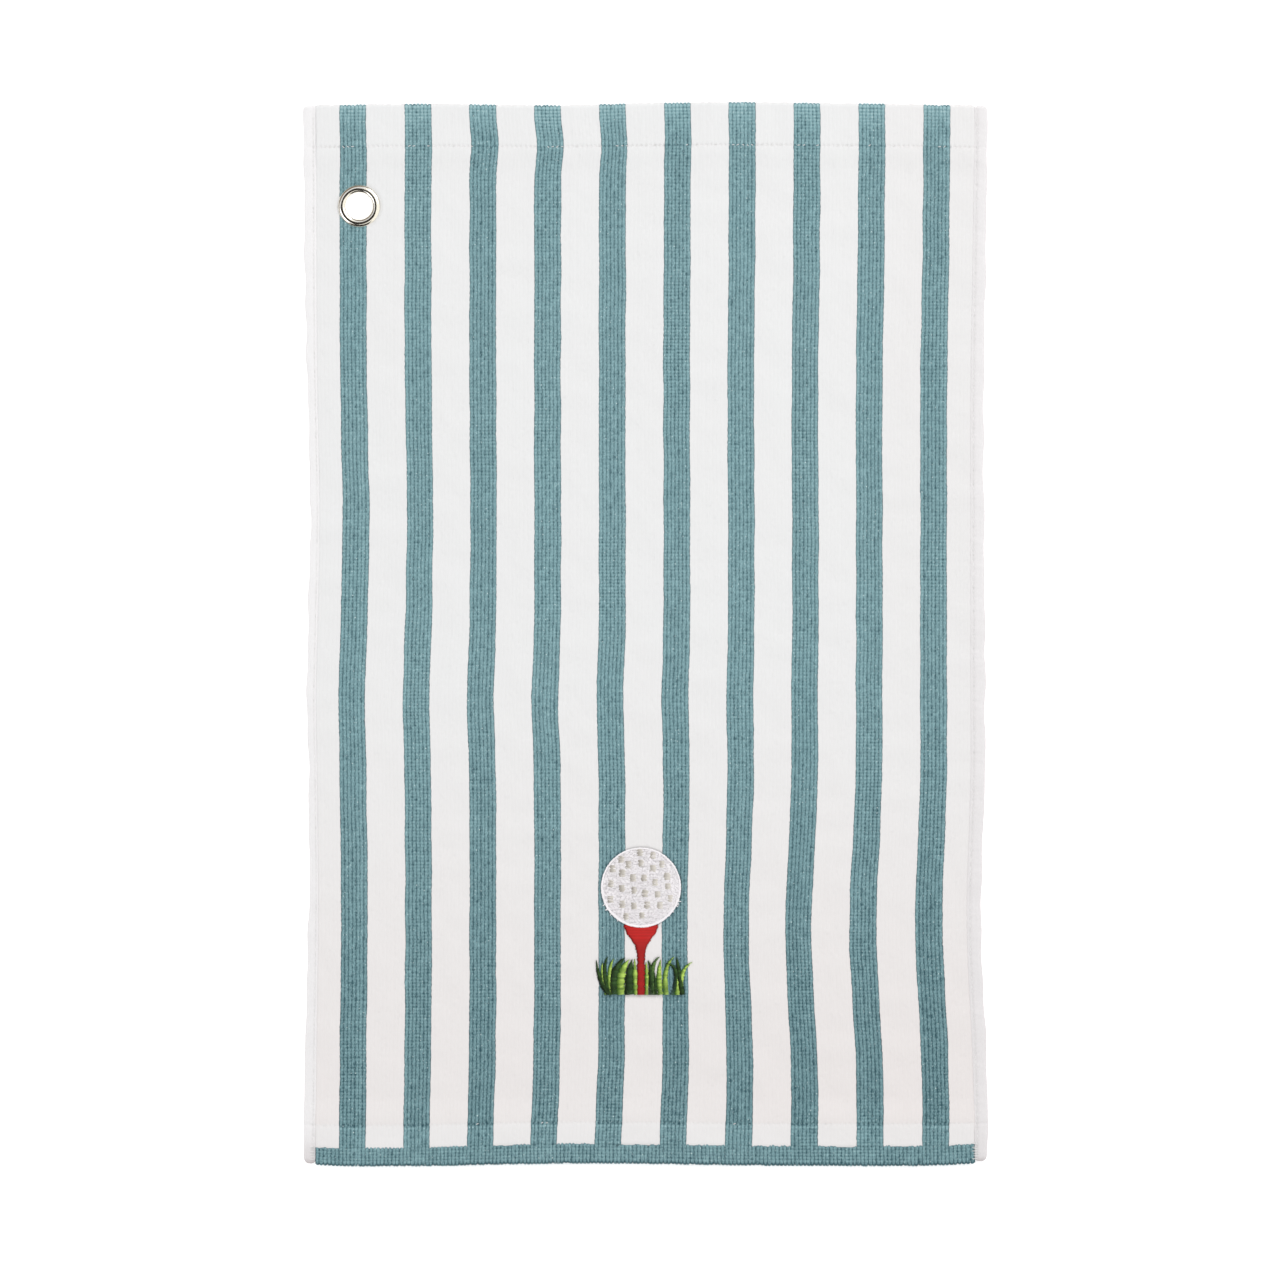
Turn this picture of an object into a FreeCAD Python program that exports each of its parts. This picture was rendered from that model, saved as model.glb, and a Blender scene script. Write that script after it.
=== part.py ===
import FreeCAD, Part
import os
import Sketcher

# A golf towel lying flat, face up: +X across, +Y towards the end with the grommet, +Z up.
# The origin is at the middle of the underside. Millimetres.

V = FreeCAD.Vector
OUT_DIR = "parts"

# Driving dimensions: alias, value, meaning.
DIMENSIONS = [
    ("towel_width", 407.0, "finished width, hem to hem"),
    ("towel_length", 634.0, "finished length, fold to fold"),
    ("loop_height", 1.2, "height of the loops on the back"),
    ("ground_height", 0.6, "thickness of the ground weave"),
    ("face_height", 1.2, "height of the sheared pile on the face"),
    ("hem_height", 4.8, "thickness of the cloth where it is turned under"),
    ("hem_seam", 25.5, "fold to stitch line, top and bottom"),
    ("hem_turn", 28.0, "fold to the end of the turned part"),
    ("hem_slope", 6.0, "length over which the cloth comes down from a hem"),
    ("groove_width", 1.2, "width of the groove that the stitches pull in"),
    ("groove_depth", 0.9, "depth of that groove in the pile"),
    ("thread_radius", 0.22, "radius of the sewing thread"),
    ("side_hem_width", 7.2, "width of a rolled side hem"),
    ("side_hem_height", 3.6, "thickness of a rolled side hem"),
    ("side_seam", 1.3, "side hem's inner edge to its stitch line"),
    ("side_groove", 0.5, "depth of the groove at the side stitches"),
    ("stripe_width", 15.9, "width of a teal stripe"),
    ("stripe_pitch", 38.65, "one teal stripe to the next"),
    ("end_band", 12.5, "depth of the teal band at the bottom end"),
    ("eyelet_side", 32.8, "left edge to the middle of the grommet"),
    ("eyelet_end", 61.3, "top fold to the middle of the grommet"),
    ("bore_radius", 8.0, "clear radius through the grommet"),
    ("flange_radius", 12.75, "outer radius of the eyelet's flange"),
    ("washer_radius", 12.4, "outer radius of the washer"),
    ("metal", 0.45, "thickness of the grommet's metal"),
    ("lip_radius", 1.4, "radius of the eyelet's crown on its bore side"),
    ("lip_rise", 0.5, "ground weave to the level where the crown starts"),
    ("shoulder_reach", 1.9, "top of the crown to its outer shoulder"),
    ("shoulder_drop", 0.35, "how much lower the shoulder is than the crown"),
    ("shoulder_inset", 0.2, "how much nearer the bore the shoulder's underside is"),
    ("rim_gap", 0.05, "ground weave to the underside of the flange's rim"),
    ("curl_radius", 0.7, "radius of the barrel's rolled end"),
    ("curl_tip", 0.3, "thickness of the rolled end's tip"),
    ("dish_start", 1.6, "bore to the start of the washer's dish"),
    ("dish_slope", 0.5, "width of the dish's slope"),
    ("dish_depth", 0.85, "depth of the dish"),
    ("dish_edge", 0.7, "width of the slope at the washer's rim"),
    ("washer_rim", 0.4, "thickness of the washer's rim"),
    ("ball_across", -2.7, "middle of the ball, across"),
    ("ball_along", -150.5, "middle of the ball, along"),
    ("ball_radius", 23.85, "outer radius of the ball's border"),
    ("border_width", 1.2, "width of the satin border"),
    ("fill_height", 0.8, "height of the ball's fill above the pile"),
    ("dimple_radius", 1.7, "radius of a dimple"),
    ("dimple_height", 0.12, "height of a dimple above the fill"),
    ("tee_across", -2.15, "middle of the tee, across"),
    ("tee_foot", -214.3, "foot of the tee and of the grass, along"),
    ("cup_reach", 10.0, "half width of the tee's cup where it meets the ball"),
    ("stitch_height", 0.7, "height of the tee and the grass above the pile"),
    ("backing_height", 0.3, "thickness of the embroidery backing"),
    ("bobbin_height", 0.4, "thickness of the bobbin thread"),
    ("backing_margin", 1.5, "backing beyond the ball's border"),
    ("backing_width", 60.0, "width of the backing behind the grass"),
    ("backing_reach", 28.5, "middle of the tee to the left edge of that backing"),
]

STRIPES = 10

# Dimples: across and along from the middle of the ball.
DIMPLES = [
    (-0.6, 21.0), (7.2, 19.2), (-11.9, 16.9), (-7.5, 13.6), (0.0, 14.5), (7.2, 11.5),
    (12.5, 13.9), (-17.0, 11.2), (-11.3, 8.5), (-4.8, 5.8), (1.8, 5.8), (8.4, 3.2),
    (15.5, 6.7), (-17.9, 2.2), (-11.3, -0.4), (-4.2, -1.6), (2.4, -3.4), (10.0, -4.0),
    (16.1, 0.8), (17.5, -6.4), (-18.2, -7.0), (-11.3, -10.0), (-4.2, -10.9), (3.6, -10.6),
    (11.3, -10.6), (-8.9, -17.1), (0.6, -16.5),
]

# The tee below its cup: half width, and height over its foot.
TEE_OUTLINE = [(2.4, 0), (2.3, 24.5), (3.7, 29.2), (6.2, 33.2), (9.0, 37.2)]

# Grass blades: thread, root middle, root width, then the middle of the blade (across, up, width)
# and its tip (across, up), all measured from the foot of the tee.
BLADES = [
    ("dark", -19.4, 3.6, (-24.4, 9.6, 2.7), (-26.6, 20.2)),
    ("light", -20.3, 2.6, (-22.9, 11.0, 2.0), (-23.0, 18.6)),
    ("dark", -18.9, 3.2, (-21.9, 12.6, 2.5), (-20.0, 22.2)),
    ("light", -17.9, 2.6, (-18.8, 12.6, 2.5), (-16.4, 21.2)),
    ("dark", -16.2, 5.0, (-15.8, 12.8, 5.0), (-9.8, 21.8)),
    ("light", -12.0, 5.0, (-11.6, 12.4, 5.0), (-7.1, 20.8)),
    ("dark", -6.9, 5.6, (-7.0, 11.4, 4.8), (-5.4, 20.8)),
    ("light", -3.2, 2.6, (-3.6, 11.0, 3.0), (-3.9, 21.0)),
    ("light", 3.2, 2.0, (3.4, 10.8, 2.3), (3.0, 19.2)),
    ("dark", 5.7, 3.4, (6.2, 11.8, 3.4), (4.2, 20.0)),
    ("mid", 7.8, 2.4, (6.9, 15.2, 2.6), (10.9, 22.2)),
    ("dark", 8.6, 2.2, (8.6, 6.5, 1.8), (7.9, 13.0)),
    ("light", 11.6, 3.4, (10.7, 11.4, 3.0), (11.7, 20.6)),
    ("light", 15.0, 3.2, (14.8, 13.6, 2.7), (19.4, 22.2)),
    ("dark", 18.6, 3.0, (20.8, 13.4, 2.6), (14.8, 18.6)),
    ("light", 21.6, 3.2, (21.6, 4.8, 2.4), (21.6, 9.2)),
    ("dark", 24.6, 3.2, (22.9, 11.6, 3.0), (21.2, 22.2)),
    ("light", 24.6, 2.4, (24.6, 12.2, 2.6), (30.2, 19.2)),
]

# Scraps of a blade, left between the blades over it, are dropped below this volume.
SMALLEST_SCRAP = 0.05


# ------------------------------------------------------------------ document helpers

doc = FreeCAD.newDocument("golf_towel")


def make_sheet():
    sheet = doc.addObject("Spreadsheet::Sheet", "dims")
    for row, (alias, value, meaning) in enumerate(DIMENSIONS, start=1):
        sheet.set("A%d" % row, alias)
        sheet.set("B%d" % row, str(value))
        sheet.set("C%d" % row, meaning)
        sheet.setAlias("B%d" % row, alias)
    doc.recompute()
    return sheet


dims = make_sheet()


def size(alias):
    """Value of one driving dimension."""
    return float(dims.get(alias))


def number(formula):
    """Value of an expression over the sheet."""
    return float(dims.evalExpression(formula))


def bind(obj, **formulas):
    """Bind properties to expressions; Placement_Base_x stands for Placement.Base.x."""
    for name, formula in formulas.items():
        obj.setExpression(name.replace("_Base_", ".Base."), formula)


def body_plane(body, role):
    for feature in body.Origin.OriginFeatures:
        if feature.Role == role:
            return feature
    raise RuntimeError("no plane " + role)


def body_with_sketch(name, role):
    body = doc.addObject("PartDesign::Body", name)
    body.Label = name
    sketch = body.newObject("Sketcher::SketchObject", name + "_sketch")
    sketch.AttachmentSupport = [(body_plane(body, role), "")]
    sketch.MapMode = "FlatFace"
    return body, sketch


def fix_point(sketch, geometry, point, across, up):
    """Hold one sketch point at two expressions."""
    for kind, formula in (("DistanceX", across), ("DistanceY", up)):
        index = sketch.addConstraint(
            Sketcher.Constraint(kind, -1, 1, geometry, point, number(formula)))
        sketch.setExpression("Constraints[%d]" % index, formula)


def draw_outline(sketch, corners):
    """Draw a closed outline.

    A corner is (across, up), or (across, up, turn, centre across, centre up) where the edge to
    the next corner is an arc that turns "left" or "right".
    """
    count = len(corners)
    where = [V(number(c[0]), number(c[1]), 0) for c in corners]
    ends = []
    for i, corner in enumerate(corners):
        here = where[i]
        there = where[(i + 1) % count]
        if len(corner) == 2:
            geometry = sketch.addGeometry(Part.LineSegment(here, there))
            ends.append((geometry, 1, 2))
            continue
        left = corner[2] == "left"
        centre = V(number(corner[3]), number(corner[4]), 0)
        first, last = (here, there) if left else (there, here)
        circle = Part.Circle(centre, V(0, 0, 1), (here - centre).Length)
        arc = Part.ArcOfCircle(circle, circle.parameter(first), circle.parameter(last))
        geometry = sketch.addGeometry(arc)
        ends.append((geometry, 1, 2) if left else (geometry, 2, 1))
        chord = there - here
        level = abs(chord.x) > abs(chord.y)
        kind, formula = ("DistanceY", corner[4]) if level else ("DistanceX", corner[3])
        index = sketch.addConstraint(
            Sketcher.Constraint(kind, -1, 1, geometry, 3, number(formula)))
        sketch.setExpression("Constraints[%d]" % index, formula)
    for i, corner in enumerate(corners):
        geometry, start, _ = ends[i]
        before, _, finish = ends[i - 1]
        sketch.addConstraint(Sketcher.Constraint("Coincident", before, finish, geometry, start))
        fix_point(sketch, geometry, start, corner[0], corner[1])


def pad(body, sketch, length):
    feature = body.newObject("PartDesign::Pad", body.Name + "_pad")
    feature.Profile = sketch
    feature.setExpression("Length", length)
    sketch.Visibility = False
    return feature


def revolve(body, sketch):
    """Turn the sketch once about its own vertical axis."""
    feature = body.newObject("PartDesign::Revolution", body.Name + "_turn")
    feature.Profile = sketch
    feature.ReferenceAxis = (sketch, ["V_Axis"])
    feature.Angle = 360.0
    return feature


def circle_sketch(sketch, radius, across="0", along="0"):
    geometry = sketch.addGeometry(Part.Circle(V(number(across), number(along), 0), V(0, 0, 1),
                                              number(radius)))
    index = sketch.addConstraint(Sketcher.Constraint("Radius", geometry, number(radius)))
    sketch.setExpression("Constraints[%d]" % index, radius)
    fix_point(sketch, geometry, 3, across, along)


# ------------------------------------------------------------------ heights and lengths

HALF_WIDTH = "dims.towel_width / 2"
HALF_LENGTH = "dims.towel_length / 2"
GROUND_LOW = "dims.loop_height"
GROUND_TOP = "(dims.loop_height + dims.ground_height)"
FACE_TOP = "(dims.loop_height + dims.ground_height + dims.face_height)"
HEM_TOP = "dims.hem_height"
HEM_FACE = "(dims.hem_height - dims.face_height)"
HEM_GROUND = "(dims.hem_height - dims.face_height - dims.ground_height)"
TURN_FACE = "dims.face_height"
TURN_GROUND = "(dims.face_height + dims.ground_height)"
FOLD_RADIUS = "dims.hem_height / 2"
CLOTH_HALF = "(dims.towel_width / 2 - dims.side_hem_width)"
FIRST_STRIPE = "(-(%d * dims.stripe_pitch + dims.stripe_width) / 2)" % (STRIPES - 1)


def along(distance, end):
    """Place along Y, as a distance inward from the top (+1) or bottom (-1) fold."""
    if end > 0:
        return "(%s - (%s))" % (HALF_LENGTH, distance)
    return "((%s) - %s)" % (distance, HALF_LENGTH)


SLOPE_END = "dims.hem_turn + dims.hem_slope"
GROOVE_NEAR = "dims.hem_seam - dims.groove_width / 2"
GROOVE_FAR = "dims.hem_seam + dims.groove_width / 2"


def groove(end, level, sign):
    """Four corners of a stitch groove, from the inner side to the fold side.

    The level is the cloth's surface there; sign is -1 for a top groove and +1 for one below.
    """
    bottom = "(%s + %d * dims.groove_depth)" % (level, sign)
    return [
        (along(GROOVE_FAR, end), level),
        (along(GROOVE_FAR, end), bottom),
        (along(GROOVE_NEAR, end), bottom),
        (along(GROOVE_NEAR, end), level),
    ]


def fold_corner(end, level, turn):
    """A corner where a layer starts round the fold, as an arc about the fold's middle."""
    return (along(FOLD_RADIUS, end), level, turn, along(FOLD_RADIUS, end), FOLD_RADIUS)


def free_profile(name, corners):
    """A sketch in the YZ plane that several strips of cloth share."""
    sketch = doc.addObject("Sketcher::SketchObject", name)
    sketch.Placement = FreeCAD.Placement(V(0, 0, 0), FreeCAD.Rotation(V(0, 1, 0), V(0, 0, 1),
                                                                      V(1, 0, 0)))
    draw_outline(sketch, corners)
    return sketch


def face_profile():
    """Face pile of a stripe: round the top fold, down the towel, up to the end band."""
    corners = [
        (along("dims.hem_turn", 1), "0"),
        *groove(1, "0", 1),
        fold_corner(1, "0", "left"),
        (along(FOLD_RADIUS, 1), HEM_TOP),
        *reversed(groove(1, HEM_TOP, -1)),
        (along("dims.hem_turn", 1), HEM_TOP),
        (along(SLOPE_END, 1), FACE_TOP),
        (along(SLOPE_END, -1), FACE_TOP),
        (along("dims.hem_turn", -1), HEM_TOP),
        *groove(-1, HEM_TOP, -1),
        (along("dims.end_band", -1), HEM_TOP),
        (along("dims.end_band", -1), HEM_FACE),
        (along("dims.hem_turn", -1), HEM_FACE),
        (along(SLOPE_END, -1), GROUND_TOP),
        (along(SLOPE_END, 1), GROUND_TOP),
        (along("dims.hem_turn", 1), HEM_FACE),
        fold_corner(1, HEM_FACE, "right"),
        (along(FOLD_RADIUS, 1), TURN_FACE),
        (along("dims.hem_turn", 1), TURN_FACE),
    ]
    return free_profile("face_profile", corners)


def band_profile():
    """Face pile of the end band: from the face round the bottom fold to the back."""
    corners = [
        (along("dims.end_band", -1), HEM_FACE),
        (along("dims.end_band", -1), HEM_TOP),
        fold_corner(-1, HEM_TOP, "left"),
        (along(FOLD_RADIUS, -1), "0"),
        *reversed(groove(-1, "0", 1)),
        (along("dims.hem_turn", -1), "0"),
        (along("dims.hem_turn", -1), TURN_FACE),
        fold_corner(-1, TURN_FACE, "right"),
        (along(FOLD_RADIUS, -1), HEM_FACE),
    ]
    return free_profile("band_profile", corners)


def ground_profile():
    """Ground weave: turned under at both ends."""
    corners = [
        (along("dims.hem_turn", 1), TURN_FACE),
        fold_corner(1, TURN_FACE, "left"),
        (along(FOLD_RADIUS, 1), HEM_FACE),
        (along("dims.hem_turn", 1), HEM_FACE),
        (along(SLOPE_END, 1), GROUND_TOP),
        (along(SLOPE_END, -1), GROUND_TOP),
        (along("dims.hem_turn", -1), HEM_FACE),
        fold_corner(-1, HEM_FACE, "left"),
        (along(FOLD_RADIUS, -1), TURN_FACE),
        (along("dims.hem_turn", -1), TURN_FACE),
        (along("dims.hem_turn", -1), TURN_GROUND),
        fold_corner(-1, TURN_GROUND, "right"),
        (along(FOLD_RADIUS, -1), HEM_GROUND),
        (along("dims.hem_turn", -1), HEM_GROUND),
        (along(SLOPE_END, -1), GROUND_LOW),
        (along(SLOPE_END, 1), GROUND_LOW),
        (along("dims.hem_turn", 1), HEM_GROUND),
        fold_corner(1, HEM_GROUND, "right"),
        (along(FOLD_RADIUS, 1), TURN_GROUND),
        (along("dims.hem_turn", 1), TURN_GROUND),
    ]
    return free_profile("ground_profile", corners)


def loop_profile():
    """Loops on the back, crushed where they run into the hems."""
    corners = [
        (along(SLOPE_END, -1), "0"),
        (along(SLOPE_END, 1), "0"),
        (along("dims.hem_turn", 1), TURN_GROUND),
        (along(FOLD_RADIUS, 1), TURN_GROUND),
        (along(FOLD_RADIUS, 1), HEM_GROUND),
        (along("dims.hem_turn", 1), HEM_GROUND),
        (along(SLOPE_END, 1), GROUND_LOW),
        (along(SLOPE_END, -1), GROUND_LOW),
        (along("dims.hem_turn", -1), HEM_GROUND),
        (along(FOLD_RADIUS, -1), HEM_GROUND),
        (along(FOLD_RADIUS, -1), TURN_GROUND),
        (along("dims.hem_turn", -1), TURN_GROUND),
    ]
    return free_profile("loop_profile", corners)


# ------------------------------------------------------------------ cloth

parts = []


def keep(obj, label):
    obj.Label = label
    parts.append(obj)
    return obj


def strip(name, profile, left, width):
    """A strip of cloth: a shared profile drawn out across the towel."""
    piece = doc.addObject("Part::Extrusion", name)
    piece.Base = profile
    piece.DirMode = "Custom"
    piece.Dir = V(1, 0, 0)
    piece.Solid = True
    bind(piece, LengthFwd=width, Placement_Base_x=left)
    return piece


def cut(name, base, tool):
    piece = doc.addObject("Part::Cut", name)
    piece.Base = base
    piece.Tool = tool
    return piece


def upright_cylinder(name, radius, low, high, across, along_y):
    tool = doc.addObject("Part::Cylinder", name)
    bind(tool, Radius=radius, Height="(%s) - (%s)" % (high, low), Placement_Base_x=across,
         Placement_Base_y=along_y, Placement_Base_z=low)
    return tool


EYELET_X = "(dims.eyelet_side - dims.towel_width / 2)"
EYELET_Y = "(dims.towel_length / 2 - dims.eyelet_end)"

# Cutting tools reach this far past the cloth.
CLEAR = "5"


def eyelet_tool(name, radius, low, high):
    return upright_cylinder(name, radius, low, high, EYELET_X, EYELET_Y)


def near_eyelet(left, width, radius):
    """Whether a strip runs under the grommet."""
    middle = number(EYELET_X)
    return number(left) < middle + size(radius) and number(left + " + " + width) > middle - size(radius)


def teal_left(index):
    return "(%s + %d * dims.stripe_pitch)" % (FIRST_STRIPE, index)


def white_left(index):
    """Left edge of a white strip; the first starts at the left side hem."""
    if index == 0:
        return "(-%s)" % CLOTH_HALF
    return "(%s + dims.stripe_width)" % teal_left(index - 1)


def white_width(index):
    if index in (0, STRIPES):
        return "(%s + %s)" % (CLOTH_HALF, FIRST_STRIPE)
    return "(dims.stripe_pitch - dims.stripe_width)"


def strips_of(colour):
    """Left edge and width of each strip of one colour of the face."""
    if colour == "teal":
        return [(teal_left(i), "dims.stripe_width") for i in range(STRIPES)]
    return [(white_left(i), white_width(i)) for i in range(STRIPES + 1)]


def make_ground():
    whole = strip("ground_sheet", ground_profile(), "(-%s)" % CLOTH_HALF, "2 * " + CLOTH_HALF)
    hole = eyelet_tool("ground_hole", "dims.bore_radius + dims.metal", "-" + CLEAR,
                       "%s + %s" % (HEM_TOP, CLEAR))
    keep(cut("ground_weave", whole, hole), "ground_weave")


def make_face():
    """Stripes of face pile; the grommet's flange crushes the pile flat where it sits."""
    profile = face_profile()
    for colour in ("teal", "white"):
        for i, (left, width) in enumerate(strips_of(colour), start=1):
            label = "%s_stripe_%02d" % (colour, i)
            piece = strip(label + "_run", profile, left, width)
            if near_eyelet(left, width, "flange_radius"):
                tool = eyelet_tool(label + "_seat", "dims.flange_radius", GROUND_TOP,
                                   "%s + %s" % (FACE_TOP, CLEAR))
                piece = cut(label + "_cut", piece, tool)
            keep(piece, label)
    band = strip("band_run", band_profile(), "(-%s)" % CLOTH_HALF, "2 * " + CLOTH_HALF)
    keep(band, "teal_end_band")


BACKING_WIDTH = "dims.backing_width"
BACKING_LEFT = "(dims.tee_across - dims.backing_reach)"
BACKING_LOW = "(dims.tee_foot - dims.backing_margin)"
BACKING_LENGTH = "(dims.ball_along - dims.tee_foot)"


def stitched_area(name):
    """Where the embroidery's backing and thread flatten the loops: ball, tee and grass."""
    disc = upright_cylinder(name + "_disc", "dims.ball_radius + dims.backing_margin", "-" + CLEAR,
                            GROUND_LOW, "dims.ball_across", "dims.ball_along")
    block = doc.addObject("Part::Box", name + "_block")
    bind(block, Length=BACKING_WIDTH, Width=BACKING_LENGTH, Height="%s + %s" % (CLEAR, GROUND_LOW),
         Placement_Base_x=BACKING_LEFT, Placement_Base_y=BACKING_LOW, Placement_Base_z="-" + CLEAR)
    area = doc.addObject("Part::MultiFuse", name)
    area.Shapes = [disc, block]
    area.Refine = True
    return area


def near_embroidery(left, width):
    low = number(BACKING_LEFT)
    high = low + number(BACKING_WIDTH)
    return number(left) < high and number(left + " + " + width) > low


def make_loops():
    """Loops on the back: each colour lies behind the other colour of the face."""
    profile = loop_profile()
    for colour, in_front in (("teal", "white"), ("white", "teal")):
        runs = []
        for i, (left, width) in enumerate(strips_of(in_front), start=1):
            name = "%s_loops_%02d" % (colour, i)
            piece = strip(name, profile, left, width)
            if near_eyelet(left, width, "washer_radius"):
                tool = eyelet_tool(name + "_seat", "dims.washer_radius", "-" + CLEAR, GROUND_LOW)
                piece = cut(name + "_cut", piece, tool)
            elif near_embroidery(left, width):
                piece = cut(name + "_cut", piece, stitched_area(name + "_area"))
            runs.append(piece)
        group = doc.addObject("Part::Compound", colour + "_back_loops")
        group.Links = runs
        keep(group, colour + "_back_loops")


def make_side_hem(label, side):
    """A rolled selvedge: flat inner side, round outer side, a stitch groove above and below."""
    body, sketch = body_with_sketch(label, "XZ_Plane")
    radius = "dims.side_hem_height / 2"
    inner = "%d * %s" % (side, CLOTH_HALF)
    outer = "%d * (%s - %s)" % (side, HALF_WIDTH, radius)
    near = "%d * (%s + dims.side_seam - dims.groove_width / 2)" % (side, CLOTH_HALF)
    far = "%d * (%s + dims.side_seam + dims.groove_width / 2)" % (side, CLOTH_HALF)
    high = "dims.side_hem_height"
    turn = "left" if side > 0 else "right"
    draw_outline(sketch, [
        (inner, "0"),
        (near, "0"),
        (near, "dims.side_groove"),
        (far, "dims.side_groove"),
        (far, "0"),
        (outer, "0", turn, outer, radius),
        (outer, high),
        (far, high),
        (far, high + " - dims.side_groove"),
        (near, high + " - dims.side_groove"),
        (near, high),
        (inner, high),
    ])
    roll = pad(body, sketch, "dims.towel_length - dims.hem_height / 2")
    roll.Midplane = True
    keep(body, label)


def thread(name, length, turned, across, along_y, up):
    """One straight run of sewing thread, along X or along Y."""
    run = doc.addObject("Part::Cylinder", name)
    bind(run, Radius="dims.thread_radius", Height=length, Placement_Base_x=across,
         Placement_Base_y=along_y, Placement_Base_z=up)
    axis = V(1, 0, 0) if turned == "y" else V(0, 1, 0)
    angle = -90 if turned == "y" else 90
    run.Placement = FreeCAD.Placement(run.Placement.Base, FreeCAD.Rotation(axis, angle))
    return run


def seam(label, runs):
    group = doc.addObject("Part::Compound", label)
    group.Links = runs
    keep(group, label)


def make_seams():
    """Needle thread above and bobbin thread below, in the grooves of each hem."""
    for end, label in ((1, "top_hem_thread"), (-1, "bottom_hem_thread")):
        place = along("dims.hem_seam", end)
        above = HEM_TOP + " - dims.groove_depth + dims.thread_radius"
        below = "dims.groove_depth - dims.thread_radius"
        runs = [thread(label + "_" + name, "2 * " + CLOTH_HALF, "x", "(-%s)" % CLOTH_HALF, place, up)
                for name, up in (("needle", above), ("bobbin", below))]
        seam(label, runs)
    for side, label in ((-1, "left_hem_thread"), (1, "right_hem_thread")):
        place = "%d * (%s + dims.side_seam)" % (side, CLOTH_HALF)
        above = "dims.side_hem_height - dims.side_groove + dims.thread_radius"
        below = "dims.side_groove - dims.thread_radius"
        length = "dims.towel_length - dims.hem_height / 2"
        runs = [thread(label + "_" + name, length, "y", place, "-(%s) / 2" % length, up)
                for name, up in (("needle", above), ("bobbin", below))]
        seam(label, runs)


# ------------------------------------------------------------------ grommet

def make_eyelet():
    """Flange, barrel and rolled end in one drawn shell, turned about the bore."""
    body, sketch = body_with_sketch("grommet_eyelet", "XZ_Plane")
    bore = "dims.bore_radius"
    wall = "(dims.bore_radius + dims.metal)"
    rim = "dims.flange_radius"
    lip_middle = "(dims.bore_radius + dims.lip_radius)"
    lip_level = "(%s + dims.lip_rise)" % GROUND_TOP
    crown = "(%s + dims.lip_radius)" % lip_level
    under = "(%s - dims.metal)" % crown
    shoulder = "(%s + dims.shoulder_reach)" % lip_middle
    rim_low = "(%s + dims.rim_gap)" % GROUND_TOP
    rim_high = "(%s + dims.metal)" % rim_low
    curl_middle = "(%s + dims.curl_radius)" % bore
    curl_outside = "(%s + 2 * dims.curl_radius)" % bore
    curl_level = "(%s - dims.metal)" % GROUND_LOW
    draw_outline(sketch, [
        (bore, curl_level),
        (bore, lip_level, "right", lip_middle, lip_level),
        (lip_middle, crown),
        (shoulder, "(%s - dims.shoulder_drop)" % crown),
        (rim, rim_high),
        (rim, rim_low),
        ("(%s - dims.metal)" % rim, rim_low),
        ("(%s - dims.shoulder_inset)" % shoulder, "(%s - dims.shoulder_drop)" % under),
        (lip_middle, under, "left", lip_middle, lip_level),
        (wall, lip_level),
        (wall, curl_level),
        ("(%s - dims.curl_tip)" % curl_outside, curl_level),
        (curl_outside, curl_level, "right", curl_middle, curl_level),
    ])
    revolve(body, sketch)
    bind(body, Placement_Base_x=EYELET_X, Placement_Base_y=EYELET_Y)
    keep(body, "grommet_eyelet")


def make_washer():
    """Dished ring between the back of the ground weave and the barrel's rolled end."""
    body, sketch = body_with_sketch("grommet_washer", "XZ_Plane")
    hole = "(dims.bore_radius + dims.metal)"
    step = "(dims.bore_radius + dims.dish_start)"
    lip = "(%s - dims.metal)" % GROUND_LOW
    low = "(%s - dims.dish_depth)" % GROUND_LOW
    draw_outline(sketch, [
        (hole, lip),
        (step, lip),
        ("(%s + dims.dish_slope)" % step, low),
        ("(dims.washer_radius - dims.dish_edge)", low),
        ("dims.washer_radius", "(%s - dims.washer_rim)" % GROUND_LOW),
        ("dims.washer_radius", GROUND_LOW),
        (hole, GROUND_LOW),
    ])
    revolve(body, sketch)
    bind(body, Placement_Base_x=EYELET_X, Placement_Base_y=EYELET_Y)
    keep(body, "grommet_washer")


# ------------------------------------------------------------------ embroidery

FILL_RADIUS = "(dims.ball_radius - dims.border_width)"


def make_ball():
    fill, sketch = body_with_sketch("ball_fill", "XY_Plane")
    circle_sketch(sketch, FILL_RADIUS)
    pad(fill, sketch, "dims.fill_height")
    border, sketch = body_with_sketch("ball_border", "XZ_Plane")
    middle = "(dims.ball_radius - dims.border_width / 2)"
    rise = "(dims.fill_height - dims.border_width / 2)"
    draw_outline(sketch, [
        (FILL_RADIUS, "0"),
        ("dims.ball_radius", "0"),
        ("dims.ball_radius", rise, "left", middle, rise),
        (FILL_RADIUS, rise),
    ])
    revolve(border, sketch)
    for body in (fill, border):
        bind(body, Placement_Base_x="dims.ball_across", Placement_Base_y="dims.ball_along",
             Placement_Base_z=FACE_TOP)
        keep(body, body.Name)


def make_dimples():
    spots = []
    level = "%s + dims.fill_height" % FACE_TOP
    for i, (across, up) in enumerate(DIMPLES, start=1):
        spot = upright_cylinder("dimple_%02d" % i, "dims.dimple_radius", level,
                                level + " + dims.dimple_height",
                                "dims.ball_across + (%s)" % across,
                                "dims.ball_along + (%s)" % up)
        spots.append(spot)
    group = doc.addObject("Part::Compound", "ball_dimples")
    group.Links = spots
    keep(group, "ball_dimples")


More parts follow.
